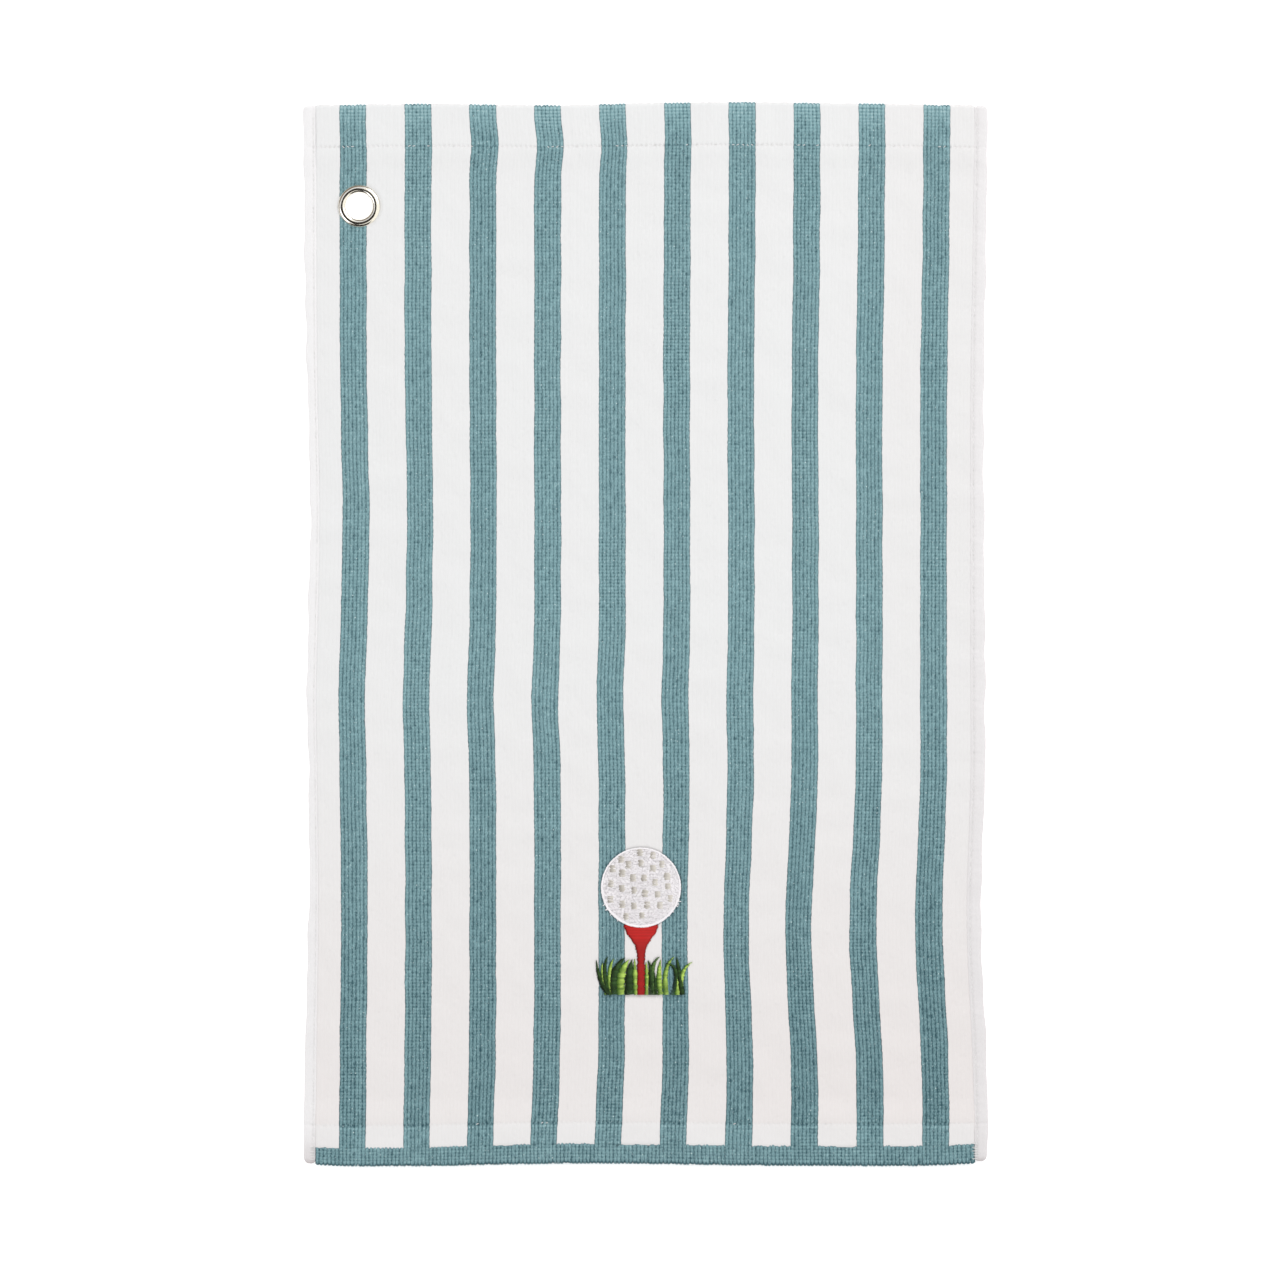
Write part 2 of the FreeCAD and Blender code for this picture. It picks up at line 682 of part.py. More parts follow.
def make_tee():
    """A straight shank, a waist, and a cup that follows the ball's edge."""
    body, sketch = body_with_sketch("tee", "XY_Plane")
    ball_x = "(dims.ball_across - dims.tee_across)"
    ball_y = "(dims.ball_along - dims.tee_foot)"
    cup_left = "(%s - dims.cup_reach)" % ball_x
    cup_right = "(%s + dims.cup_reach)" % ball_x
    drop = "sqrt(dims.ball_radius * dims.ball_radius - dims.cup_reach * dims.cup_reach)"
    cup_level = "(%s - %s)" % (ball_y, drop)
    draw_outline(sketch, [
        *[(str(half), str(up)) for half, up in TEE_OUTLINE],
        (cup_right, cup_level, "right", ball_x, ball_y),
        (cup_left, cup_level),
        *[(str(-half), str(up)) for half, up in reversed(TEE_OUTLINE)],
    ])
    pad(body, sketch, "dims.stitch_height")
    bind(body, Placement_Base_x="dims.tee_across", Placement_Base_y="dims.tee_foot",
         Placement_Base_z=FACE_TOP)
    keep(body, "tee")


def blade_shape(root, root_width, middle, tip):
    """A flat blade with its root on the ground line."""
    across, up, width = middle
    outline = [
        V(root - root_width / 2, 0, 0),
        V(root + root_width / 2, 0, 0),
        V(across + width / 2, up, 0),
        V(tip[0], tip[1], 0),
        V(across - width / 2, up, 0),
    ]
    face = Part.Face(Part.makePolygon(outline + outline[:1]))
    return face.extrude(V(0, 0, size("stitch_height")))


def make_grass():
    """Dark blades lie over mid ones, and mid over light ones; the tee stands in front of all."""
    tee_shape = doc.getObject("tee").Shape.copy()
    place = V(size("tee_across"), size("tee_foot"), number(FACE_TOP))
    taken = tee_shape
    for colour in ("dark", "mid", "light"):
        blades = [blade_shape(*blade[1:]) for blade in BLADES if blade[0] == colour]
        shape = blades[0].fuse(blades[1:]) if len(blades) > 1 else blades[0]
        shape.translate(place)
        free = shape.cut(taken).removeSplitter()
        taken = taken.fuse(free)
        grown = [solid for solid in free.Solids if solid.Volume > SMALLEST_SCRAP]
        piece = doc.addObject("Part::Feature", "grass_" + colour)
        piece.Shape = Part.makeCompound(grown)
        keep(piece, "grass_" + colour)


def backing_layer(label, margin, low, height):
    """A flat layer behind the ball, the tee and the grass, drawn in by a margin."""
    disc = upright_cylinder(label + "_disc", "dims.ball_radius + dims.backing_margin - %s" % margin,
                            low, "%s + %s" % (low, height), "dims.ball_across", "dims.ball_along")
    block = doc.addObject("Part::Box", label + "_block")
    bind(block, Length="%s - 2 * %s" % (BACKING_WIDTH, margin),
         Width="%s - 2 * %s" % (BACKING_LENGTH, margin), Height=height,
         Placement_Base_x="%s + %s" % (BACKING_LEFT, margin),
         Placement_Base_y="%s + %s" % (BACKING_LOW, margin), Placement_Base_z=low)
    layer = doc.addObject("Part::MultiFuse", label)
    layer.Shapes = [disc, block]
    layer.Refine = True
    keep(layer, label)


def make_backing():
    low = "(%s - dims.backing_height)" % GROUND_LOW
    backing_layer("embroidery_backing", "0", low, "dims.backing_height")
    bobbin = "(%s - dims.bobbin_height)" % low
    backing_layer("bobbin_thread", "dims.backing_margin", bobbin, "dims.bobbin_height")


# ------------------------------------------------------------------ build and write

def check(obj):
    """Stop on a failed object, or on a sub-part with a null or broken shape."""
    bad = [state for state in obj.State if state in ("Invalid", "Error")]
    if bad:
        raise RuntimeError("%s: %s" % (obj.Name, ", ".join(bad)))
    if obj in parts and (obj.Shape.isNull() or not obj.Shape.isValid() or obj.Shape.Volume <= 0):
        raise RuntimeError("bad shape: " + obj.Label)


def main():
    make_ground()
    make_face()
    make_loops()
    make_side_hem("left_side_hem", -1)
    make_side_hem("right_side_hem", 1)
    make_seams()
    make_eyelet()
    make_washer()
    make_ball()
    make_dimples()
    make_tee()
    make_backing()
    doc.recompute()
    make_grass()
    doc.recompute()
    for obj in doc.Objects:
        check(obj)
    os.makedirs(OUT_DIR, exist_ok=True)
    for piece in parts:
        piece.Shape.exportStep(os.path.join(OUT_DIR, piece.Label + ".step"))
        box = piece.Shape.BoundBox
        print("%-20s %3d solids %10.1f mm3  x %.2f..%.2f y %.2f..%.2f z %.2f..%.2f" % (
            piece.Label, len(piece.Shape.Solids), piece.Shape.Volume,
            box.XMin, box.XMax, box.YMin, box.YMax, box.ZMin, box.ZMax))
    print("sub-parts:", len(parts))


main()
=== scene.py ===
import math

import bpy
import numpy as np
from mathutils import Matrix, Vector


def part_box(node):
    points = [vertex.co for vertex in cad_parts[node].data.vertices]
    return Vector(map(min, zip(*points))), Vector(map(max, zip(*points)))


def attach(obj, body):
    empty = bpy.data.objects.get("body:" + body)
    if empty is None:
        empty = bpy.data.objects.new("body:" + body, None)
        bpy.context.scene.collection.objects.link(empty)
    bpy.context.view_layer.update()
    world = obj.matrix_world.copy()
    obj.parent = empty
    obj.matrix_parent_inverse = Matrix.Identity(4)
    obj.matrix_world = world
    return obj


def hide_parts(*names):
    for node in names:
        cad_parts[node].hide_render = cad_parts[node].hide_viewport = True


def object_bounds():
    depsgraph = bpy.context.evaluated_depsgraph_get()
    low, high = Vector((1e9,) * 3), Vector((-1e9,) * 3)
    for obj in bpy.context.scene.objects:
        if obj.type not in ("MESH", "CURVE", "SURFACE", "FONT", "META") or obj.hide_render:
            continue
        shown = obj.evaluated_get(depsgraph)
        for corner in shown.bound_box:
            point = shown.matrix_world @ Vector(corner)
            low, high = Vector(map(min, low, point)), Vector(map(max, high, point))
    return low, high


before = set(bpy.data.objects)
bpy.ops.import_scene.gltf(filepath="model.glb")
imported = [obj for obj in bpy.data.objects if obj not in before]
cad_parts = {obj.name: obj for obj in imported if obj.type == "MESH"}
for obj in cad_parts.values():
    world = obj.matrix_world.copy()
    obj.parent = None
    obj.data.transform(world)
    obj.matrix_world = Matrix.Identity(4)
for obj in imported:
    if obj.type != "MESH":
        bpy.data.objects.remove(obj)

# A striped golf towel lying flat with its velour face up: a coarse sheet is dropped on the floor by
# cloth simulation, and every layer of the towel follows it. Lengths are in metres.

MM = 0.001
CAD_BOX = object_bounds()
HALF_WIDTH = CAD_BOX[1].x
HALF_LENGTH = CAD_BOX[1].y
HEM_TOP = CAD_BOX[1].z
SCENE = bpy.context.scene

# ------------------------------------------------------------------ camera

LOOK_AT = Vector((-3.3 * MM, -3.0 * MM, 0))
CAMERA_HEIGHT = 4.0
FRAME_WIDTH = 763.5 * MM
SENSOR = 36.0

camera_data = bpy.data.cameras.new("camera")
camera_data.sensor_width = SENSOR
camera_data.lens = SENSOR * CAMERA_HEIGHT / FRAME_WIDTH
camera = bpy.data.objects.new("camera", camera_data)
camera.location = LOOK_AT + Vector((0, 0, CAMERA_HEIGHT))
SCENE.collection.objects.link(camera)
SCENE.camera = camera
SCENE.view_settings.view_transform = "Standard"

# ------------------------------------------------------------------ sizes


def middle_and_reach(node):
    """The middle of a CAD node's box, and half its width."""
    low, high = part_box(node)
    return (low + high) / 2, (high.x - low.x) / 2


# Layers of the cloth, as thicknesses: loops on the back, the ground weave, cut pile on the face.
LOOP = 1.2 * MM
GROUND = 0.6 * MM
PILE = 1.2 * MM
PILE_FOOT = GROUND / 2 - 0.1 * MM
MIDDLE = LOOP + GROUND / 2
FACE_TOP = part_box("ball_fill")[0].z

# A hem: the cloth is folded under by HEM_TURN and sewn down.
HEM_TURN = 28 * MM
HEM_SLOPE = 14 * MM
HEM_MIDDLE = HEM_TOP - PILE - GROUND / 2
FOLD_LEVEL = HEM_TOP / 2
FOLD_BEND = HEM_MIDDLE - FOLD_LEVEL
FOLD_AT = HALF_LENGTH - FOLD_LEVEL
FOLD_LENGTH = math.pi * FOLD_BEND
CLOTH_END = FOLD_AT + FOLD_LENGTH + HEM_TURN - FOLD_LEVEL
CLOTH_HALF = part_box("ground_weave")[1].x
BAND_START = -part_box("white_stripe_06")[0].y
BAND_LAP = 1.4 * MM
SEAM_AT = sum(corner.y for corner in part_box("top_hem_thread")) / 2
SEAM_ROWS = np.array([-0.6, 0, 0.6]) * MM
STITCH = 2.8 * MM

# The pile stands in ribs along the towel, and in rows of tufts across it.
RIB = 2.275 * MM
RIB_COLUMNS = 6
LOOP_COLUMNS = 4
TUFT_PITCH = 2.02 * MM
LOOP_PITCH = 1.3 * MM
ROW = TUFT_PITCH / 2
RIB_DEPTH = {"teal": 0.42, "white": 0.10}
ROW_DEPTH = {"teal": 0.05, "white": 0.02}
HEM_ROW_DEPTH = {"teal": 0.20, "white": 0.04}

# How strongly the shade of each colour changes between ribs, tufts and rows, partly painted shade in the
# grooves, and its usual shade.
CONTRAST = {"teal": 0.9, "white": 0.05}
SHADE = {"teal": 0.53, "white": 0.90}

# Painted shade: how much darker it gets in the seams' grooves, round the end folds, and toward the bottom
# end as the light falls off.
SEAM_SHADE = {"teal": 0.75, "white": 0.12}
EDGE_SHADE = {"teal": 1.0, "white": 0.4}
END_SHADE = {"teal": 0.25, "white": 0.50}

# How deep a seam presses the pile, and how strong the top seam is beside the bottom one.
SEAM_DEPTH = {"teal": 0.72, "white": 0.40}
TOP_SEAM = {"teal": 0.6, "white": 1.8}

STRIPES = 10
TEAL_EDGES = [[corner.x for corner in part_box("teal_stripe_%02d" % i)] for i in range(1, STRIPES + 1)]

SIDE_WIDTH = HALF_WIDTH - CLOTH_HALF
SIDE_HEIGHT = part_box("left_side_hem")[1].z
SIDE_SEAM = 1.3 * MM
SIDE_LAP = 0.6 * MM

EYELET, FLANGE = middle_and_reach("grommet_eyelet")
WASHER = middle_and_reach("grommet_washer")[1]
BORE = 8.0 * MM
WEAVE_HOLE = BORE + 1.4 * MM
PILE_HOLE = BORE + 1.6 * MM
METAL = 0.45 * MM  # thickness of its plate

BALL, BALL_RADIUS = middle_and_reach("ball_border")
BORDER = 1.2 * MM
TEE = Vector((middle_and_reach("tee")[0].x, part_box("tee")[0].y, FACE_TOP))
BACK_END = HALF_LENGTH - HEM_TURN + 3 * MM
BACK_LOW, BACK_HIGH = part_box("embroidery_backing")
BACKING_RIM = 1.5 * MM
BACKING_THICK = 0.3 * MM

# Embroidery thread: how far apart its stitches lie, and half sizes of its section.
THREAD = 0.36 * MM
HALF_THREAD = 0.21 * MM
THREAD_HEIGHT = 0.14 * MM
BROAD_THREAD = 0.24 * MM

random = np.random.default_rng(20)


def scatter(spread, shape):
    """Random shifts whose usual size is spread."""
    return spread * random.normal(0, 1, shape)


# ------------------------------------------------------------------ how the cloth lies

# Where sewing, embroidery and laying drew the cloth out of line, in mm: the middle of each pull
# (across, along), how far it spreads each way, and how far it shifts the cloth (across, along).
PULLS = [
    ((0, 0), (900, 900), (-0.4, 0)),
    ((200, 20), (120, 170), (-2.0, 0)),
    ((110, -178), (84, 68), (-5.0, 0)),
    ((210, -165), (60, 60), (-2.0, 0)),
    ((70, -300), (120, 32), (-0.9, 0)),
    ((140, 150), (130, 60), (-0.8, 0)),
    ((-190, -165), (60, 60), (0.8, 0)),
    ((-60, -40), (150, 32), (-1.5, 0)),
    ((-30, -320), (110, 55), (-2.4, 0)),
    ((-60, 292), (60, 12), (1.6, 0)),
    ((-170, 70), (60, 60), (1.8, 0)),
    ((-204, 100), (6, 110), (2.6, 0)),
    ((-204, -110), (6, 120), (3.0, 0)),
    ((204, -60), (6, 170), (1.2, 0)),
    ((206, 300), (10, 50), (1.0, 0)),
    ((206, -295), (12, 45), (1.4, 0)),
    ((-200, 320), (50, 90), (0, -0.8)),
    ((-58, 322), (45, 40), (0, -1.1)),
    ((50, 330), (60, 60), (0, 0.9)),
    ((208, 320), (50, 60), (0, -1.2)),
    ((-160, -301), (60, 13), (0, -1.5)),
    ((-206, -318), (16, 14), (0, 1.6)),
    ((-30, -312), (75, 30), (0, 1.6)),
    ((206, -318), (26, 22), (0, 1.9)),
    ((0, -326), (400, 9), (0, 0.6)),
    ((-180, -326), (30, 9), (0, 0.4)),
]


def pulled(x, y):
    """The place in the plane of a point of the cloth, after every pull."""
    dx = np.zeros(np.broadcast(x, y).shape)
    dy = np.zeros_like(dx)
    for middle, spread, shift in PULLS:
        away = ((x / MM - middle[0]) / spread[0]) ** 2 + ((y / MM - middle[1]) / spread[1]) ** 2
        share = np.exp(-away)
        dx += shift[0] * MM * share
        dy += shift[1] * MM * share
    return x + dx, y + dy


def smooth(t):
    """A soft step from 0 to 1 as t goes from 0 to 1."""
    t = np.clip(t, 0, 1)
    return t * t * (3 - 2 * t)


def near(value, middle, spread):
    """A bump from 0 to 1, with 1 at the middle."""
    return np.exp(-((value - middle) / spread) ** 2)


def waves(x, y, size, seed, count=7):
    """A smooth uneven pattern from -1 to 1 or so, with features about size across."""
    chance = np.random.default_rng(seed)
    total = np.zeros(np.broadcast(x, y).shape)
    for _ in range(count):
        turn = chance.uniform(0, math.tau)
        pitch = size * chance.uniform(0.7, 1.6)
        phase = chance.uniform(0, math.tau)
        total += np.sin((x * math.cos(turn) + y * math.sin(turn)) * math.tau / pitch + phase)
    return total / math.sqrt(count)


def grid_faces(rows, columns):
    """Faces of a grid of points numbered row by row, seen anticlockwise from the face."""
    first = (np.arange(rows - 1)[:, None] * columns + np.arange(columns - 1)[None, :]).ravel()
    return np.stack([first, first + 1, first + columns + 1, first + columns], axis=1)


def grid_object(name, points):
    """A plain sheet through a grid of points."""
    rows, columns = points.shape[:2]
    mesh = bpy.data.meshes.new(name)
    mesh.from_pydata(points.reshape(-1, 3).tolist(), [], grid_faces(rows, columns).tolist())
    made = bpy.data.objects.new(name, mesh)
    SCENE.collection.objects.link(made)
    return made


def flat_card(name, x, y):
    """A plain rectangle of half sizes x and y."""
    return grid_object(name, np.array([[[-x, -y, 0], [x, -y, 0]], [[-x, y, 0], [x, y, 0]]]))


RELIEF_STEP = 10 * MM
RELIEF_MOST = 1.6 * MM
DROP_FRAMES = 30
CONTACT_GAP = 0.5 * MM
FALLING_CLOTH = {
    "quality": 6,
    "mass": 0.02,
    "tension_stiffness": 40,
    "compression_stiffness": 40,
    "shear_stiffness": 20,
    "bending_stiffness": 0.6,
}


def dropped_sheet():
    """Heights of a coarse sheet of this towel's size after it settles on the floor."""
    across = np.arange(-HALF_WIDTH, HALF_WIDTH + RELIEF_STEP, RELIEF_STEP)
    along = np.arange(-HALF_LENGTH, HALF_LENGTH + RELIEF_STEP, RELIEF_STEP)
    x, y = np.meshgrid(across, along)
    start = 3.0 * MM + 1.5 * MM * waves(x, y, 150 * MM, seed=4)
    start += 0.5 * MM * waves(x, y, 60 * MM, seed=5)
    sheet = grid_object("falling_sheet", np.stack([x, y, start], axis=-1))
    floor = flat_card("sheet_floor", 1.0, 1.0)
    floor.modifiers.new("floor", "COLLISION")
    floor.collision.thickness_outer = CONTACT_GAP
    floor.collision.cloth_friction = 30
    cloth = sheet.modifiers.new("cloth", "CLOTH")
    for label, value in FALLING_CLOTH.items():
        setattr(cloth.settings, label, value)
    cloth.collision_settings.distance_min = CONTACT_GAP
    cloth.collision_settings.use_self_collision = False
    for step in range(1, DROP_FRAMES + 1):
        SCENE.frame_set(step)
    settled = sheet.evaluated_get(bpy.context.evaluated_depsgraph_get()).to_mesh()
    points = np.zeros(len(settled.vertices) * 3)
    settled.vertices.foreach_get("co", points)
    SCENE.frame_set(1)
    for used in (sheet, floor):
        bpy.data.objects.remove(used)
    height = points.reshape(x.shape + (3,))[..., 2]
    return across, along, np.round(height - height.min(), 6)


SHEET_ACROSS, SHEET_ALONG, SHEET_HEIGHT = dropped_sheet()
SHEET_HEIGHT = RELIEF_MOST * np.tanh(SHEET_HEIGHT / RELIEF_MOST)


def cubic_weights(t):
    """Catmull-Rom weights of four neighbours."""
    return np.stack([
        0.5 * (-t + 2 * t ** 2 - t ** 3),
        0.5 * (2 - 5 * t ** 2 + 3 * t ** 3),
        0.5 * (t + 4 * t ** 2 - 3 * t ** 3),
        0.5 * (-t ** 2 + t ** 3),
    ])


def relief(x, y):
    """Height of the laid cloth over the floor at a point of the plane."""
    column = np.clip((x - SHEET_ACROSS[0]) / RELIEF_STEP, 0, len(SHEET_ACROSS) - 1.001)
    row = np.clip((y - SHEET_ALONG[0]) / RELIEF_STEP, 0, len(SHEET_ALONG) - 1.001)
    left = column.astype(int)
    low = row.astype(int)
    across = cubic_weights(column - left)
    along = cubic_weights(row - low)
    height = np.zeros(x.shape)
    for j in range(4):
        for i in range(4):
            there = SHEET_HEIGHT[np.clip(low + j - 1, 0, len(SHEET_ALONG) - 1),
                                 np.clip(left + i - 1, 0, len(SHEET_ACROSS) - 1)]
            height += across[i] * along[j] * there
    return np.maximum(height, 0)


def doubled_share(along):
    """How far the cloth has climbed onto its turned part, from 0 to 1, at a distance from the middle."""
    return smooth((along - (HALF_LENGTH - HEM_TURN - HEM_SLOPE)) / HEM_SLOPE)


def path(s):
    """The ground weave seen from the side, at a distance s along it from the middle of the towel:
    place along, height, and the way its face looks (along, up)."""
    side = np.sign(s)
    far = np.abs(s)
    angle = np.clip((far - FOLD_AT) / FOLD_BEND, 0, math.pi)
    beyond = np.clip(far - FOLD_AT - FOLD_LENGTH, 0, None)
    along = np.minimum(far, FOLD_AT) + FOLD_BEND * np.sin(angle) - beyond
    flat = MIDDLE + (HEM_MIDDLE - MIDDLE) * doubled_share(far)
    up = np.where(far < FOLD_AT, flat, FOLD_LEVEL + FOLD_BEND * np.cos(angle))
    return side * along, up, side * np.sin(angle), np.cos(angle)


def flat_place(u, s, rise):
    """A point of the towel before it is laid on the floor: u across, s along it."""
    along, up, face_along, face_up = path(s)
    x, y = pulled(u, along + face_along * rise)
    return x, y, up + face_up * rise


def on_face(x, y, height):
    """A point at a height over the floor under the flat cloth, in the scene."""
    return np.stack([x, y, height + relief(x, y)], axis=-1)


def place(u, s, rise):
    """A cloth point in the scene."""
    return on_face(*flat_place(u, s, rise))


# ------------------------------------------------------------------ making pieces

def new_piece(name, points, quads, caps=(), values=None):
    """A smooth mesh piece from arrays: points, four-cornered faces, longer faces, and named values
    kept at the points for the materials."""
    quads = np.asarray(quads, dtype=np.int32)
    corners = np.concatenate([quads.ravel()] + [np.asarray(cap, dtype=np.int32) for cap in caps])
    sizes = np.array([4] * len(quads) + [len(cap) for cap in caps])
    starts = np.concatenate([[0], np.cumsum(sizes)[:-1]])
    mesh = bpy.data.meshes.new(name)
    mesh.vertices.add(len(points))
    mesh.vertices.foreach_set("co", np.asarray(points, dtype=np.float32).ravel())
    mesh.loops.add(len(corners))
    mesh.loops.foreach_set("vertex_index", corners)
    mesh.polygons.add(len(sizes))
    mesh.polygons.foreach_set("loop_start", starts.astype(np.int32))
    mesh.polygons.foreach_set("use_smooth", np.ones(len(sizes), dtype=bool))
    mesh.update(calc_edges=True)
    for label, value in (values or {}).items():
        kept = mesh.attributes.new(label, "FLOAT_VECTOR", "POINT")
        kept.data.foreach_set("vector", np.asarray(value, dtype=np.float32).ravel())
    piece = bpy.data.objects.new(name, mesh)
    SCENE.collection.objects.link(piece)
    return piece


def finish_piece(piece, material, node):
    """Give a piece its material, and let it stand for a CAD node."""
    piece.name = node + "_look"
    piece.data.name = piece.name
    piece.data.materials.append(material)
    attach(piece, "root")
    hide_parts(node)
    return piece


def joined(name, pieces):
    """Several new pieces as one."""
    with bpy.context.temp_override(active_object=pieces[0], object=pieces[0],
                                   selected_editable_objects=pieces, selected_objects=pieces):
        bpy.ops.object.join()
    pieces[0].name = name
    pieces[0].data.name = name
    return pieces[0]


def flipped(quads, caps):
    """The same faces, looking the other way."""
    return quads[:, ::-1], [cap[::-1] for cap in caps]


def tube_faces(index):
    """Faces between each row of point numbers and the next, closed round every row."""
    a, b = index[..., :-1, :], index[..., 1:, :]
    return np.stack([a, b, np.roll(b, -1, axis=-1), np.roll(a, -1, axis=-1)], axis=-1).reshape(-1, 4)


def outside(points, centre, radius):
    """Whether each point is further than radius from centre, seen from above."""
    return np.hypot(points[:, 0] - centre.x, points[:, 1] - centre.y) > radius


def cloth_rows(start, stop, step):
    """Distances along the cloth from start to stop, closer together round the folds."""
    turns = np.linspace(0, FOLD_LENGTH, 17)
    beyond = FOLD_AT + FOLD_LENGTH + np.arange(step, HEM_TURN, step)
    end = np.concatenate([FOLD_AT + turns, SEAM_AT + SEAM_ROWS, beyond])
    marks = np.concatenate([-end, np.arange(-FOLD_AT + step, FOLD_AT - step / 2, step), end])
    inside = marks[(marks > start + 0.1 * step) & (marks < stop - 0.1 * step)]
    return np.unique(np.concatenate([[start], inside, [stop]]))


def strip_columns(left, right, per_rib):
    """Columns of points across a strip, and where each one is in its rib, from 0 to 1."""
    count = max(1, round((right - left) / RIB)) * per_rib
    return np.linspace(left, right, count + 1), (np.arange(count + 1) % per_rib) / per_rib


def reaches_grommet(left, right, reach):
    """Whether a strip between two lines comes within reach of the grommet's middle."""
    return left < EYELET.x + reach and right > EYELET.x - reach


def layer_piece(name, columns, rows, rise, foot, tone, pierced=False):
    """A layer of the cloth as a closed strip: its surface at rise over the weave's middle, and a plain
    underside at foot. A pierced one leaves room for the grommet."""
    points = place(columns, rows, rise)
    high, wide = points.shape[:2]
    feet = place(columns[:, [0, -1]], rows[:, [0, -1]], np.full((high, 2), foot))
    every = np.concatenate([points.reshape(-1, 3), feet.reshape(-1, 3)])
    top = grid_faces(high, wide)
    base = high * wide
    row = np.arange(high - 1)
    left, right = row * wide, row * wide + wide - 1
    left_foot, right_foot = base + 2 * row, base + 2 * row + 1
    walls = np.concatenate([
        np.stack([left, left + wide, left_foot + 2, left_foot], axis=1),
        np.stack([right, right_foot, right_foot + 2, right + wide], axis=1),
    ])
    under = np.stack([left_foot, left_foot + 2, right_foot + 2, right_foot], axis=1)
    if pierced:
        top = top[outside(every[top].mean(axis=1), EYELET, PILE_HOLE)]
        under = under[np.abs(every[under[:, 0]][:, 1] - EYELET.y) > PILE_HOLE]
    first = list(range(wide)) + [base + 1, base]
    last = list(range((high - 1) * wide, high * wide)) + [base + 2 * high - 1, base + 2 * high - 2]
    quads = np.concatenate([top, walls, under])
    caps = [first[::-1], last]
    if rise.mean() < 0:
        quads, caps = flipped(quads, caps)
    cloth = np.stack([columns, rows, np.broadcast_to(tone, columns.shape)], axis=-1)
    cloth = np.concatenate([cloth.reshape(-1, 3), cloth[:, [0, -1]].reshape(-1, 3)])
    return new_piece(name, every, quads, caps, {"cloth": cloth})


def closed_sheet(name, upper, lower, faces, cloth=None):
    """A closed sheet between two grids of points that share their faces, walled at every rim. It
    keeps the cloth values of its grid for the material, or else its own points."""
    edges = np.concatenate([faces[:, [i, (i + 1) % 4]] for i in range(4)])
    size = len(upper)
    there = edges[:, 0] * size + edges[:, 1]
    back = edges[:, 1] * size + edges[:, 0]
    rim = edges[~np.isin(there, back)]
    walls = np.stack([rim[:, 1], rim[:, 0], rim[:, 0] + size, rim[:, 1] + size], axis=1)
    quads = np.concatenate([faces, faces[:, ::-1] + size, walls])
    used = np.zeros(2 * size, dtype=bool)
    used[quads] = True
    renumber = np.cumsum(used) - 1
    points = np.concatenate([upper, lower])
    kept = points if cloth is None else np.concatenate([cloth, cloth])
    return new_piece(name, points[used], renumber[quads], (), {"cloth": kept[used]})


# ------------------------------------------------------------------ materials

def shader(name, roughness, **numbers):
    """A new node material with plain numbers set on its shader, and its node tree."""
    material = bpy.data.materials.new(name)
    material.use_nodes = True
    inputs = material.node_tree.nodes["Principled BSDF"].inputs
    inputs["Roughness"].default_value = roughness
    for label, value in numbers.items():
        inputs[label.replace("_", " ")].default_value = value
    return material, material.node_tree


def add(tree, kind, settings=None, **inputs):
    """A node with its settings and inputs; an input is a number, a colour or another node's output."""
    node = tree.nodes.new("ShaderNode" + kind)
    for label, value in (settings or {}).items():
        setattr(node, label, value)
    for label, value in inputs.items():
        key = int(label[1:]) if label[1:].isdigit() else label
        socket = node.inputs[key]
        if isinstance(value, bpy.types.NodeSocket):
            tree.links.new(value, socket)
        else:
            socket.default_value = value
    return node


def maths(tree, operation, first, second=0.0, third=0.0):
    """The result of a Math node."""
    return add(tree, "Math", {"operation": operation}, _0=first, _1=second, _2=third).outputs[0]


def scaled(tree, value, factor, extra):
    """A value times a factor, with something added."""
    return maths(tree, "MULTIPLY_ADD", value, factor, extra)


def clamped(tree, value):
    """A value held between 0 and 1."""
    return add(tree, "Clamp", Value=value).outputs[0]


def mixed(tree, share, first, second, blend="MIX"):
    """A mix of two colours."""
    settings = {"data_type": "RGBA", "blend_type": blend}
    return add(tree, "Mix", settings, _0=share, _6=first, _7=second).outputs[2]


def kept_vector(tree, label):
    """The values kept at a piece's points, as a vector."""
    return add(tree, "Attribute", {"attribute_name": label}).outputs["Vector"]


def parts_of(tree, vector):
    """The three parts of a vector."""
    return add(tree, "SeparateXYZ", Vector=vector).outputs


def stretched_noise(tree, vector, across, along, detail=2.0):
    """Noise whose grains are about across by along metres on the cloth."""
    stretch = (1 / across, 1 / along, 0.0)
    stretched = add(tree, "VectorMath", {"operation": "MULTIPLY"}, _0=vector, _1=stretch)
    return add(tree, "TexNoise", Vector=stretched.outputs[0], Scale=1.0, Detail=detail).outputs[0]


def solid_noise(tree, scale, detail=2.0):
    """Noise in a piece's own space."""
    place_at = add(tree, "TexCoord").outputs["Object"]
    return add(tree, "TexNoise", Vector=place_at, Scale=scale, Detail=detail).outputs[0]


def surface(tree, tint, height, distance, strength=1.0):
    """Give a material's shader its colour and its fine relief."""
    bump = add(tree, "Bump", Strength=strength, Distance=distance, Height=height)
    inputs = tree.nodes["Principled BSDF"].inputs
    tree.links.new(tint, inputs["Base Color"])
    tree.links.new(bump.outputs[0], inputs["Normal"])


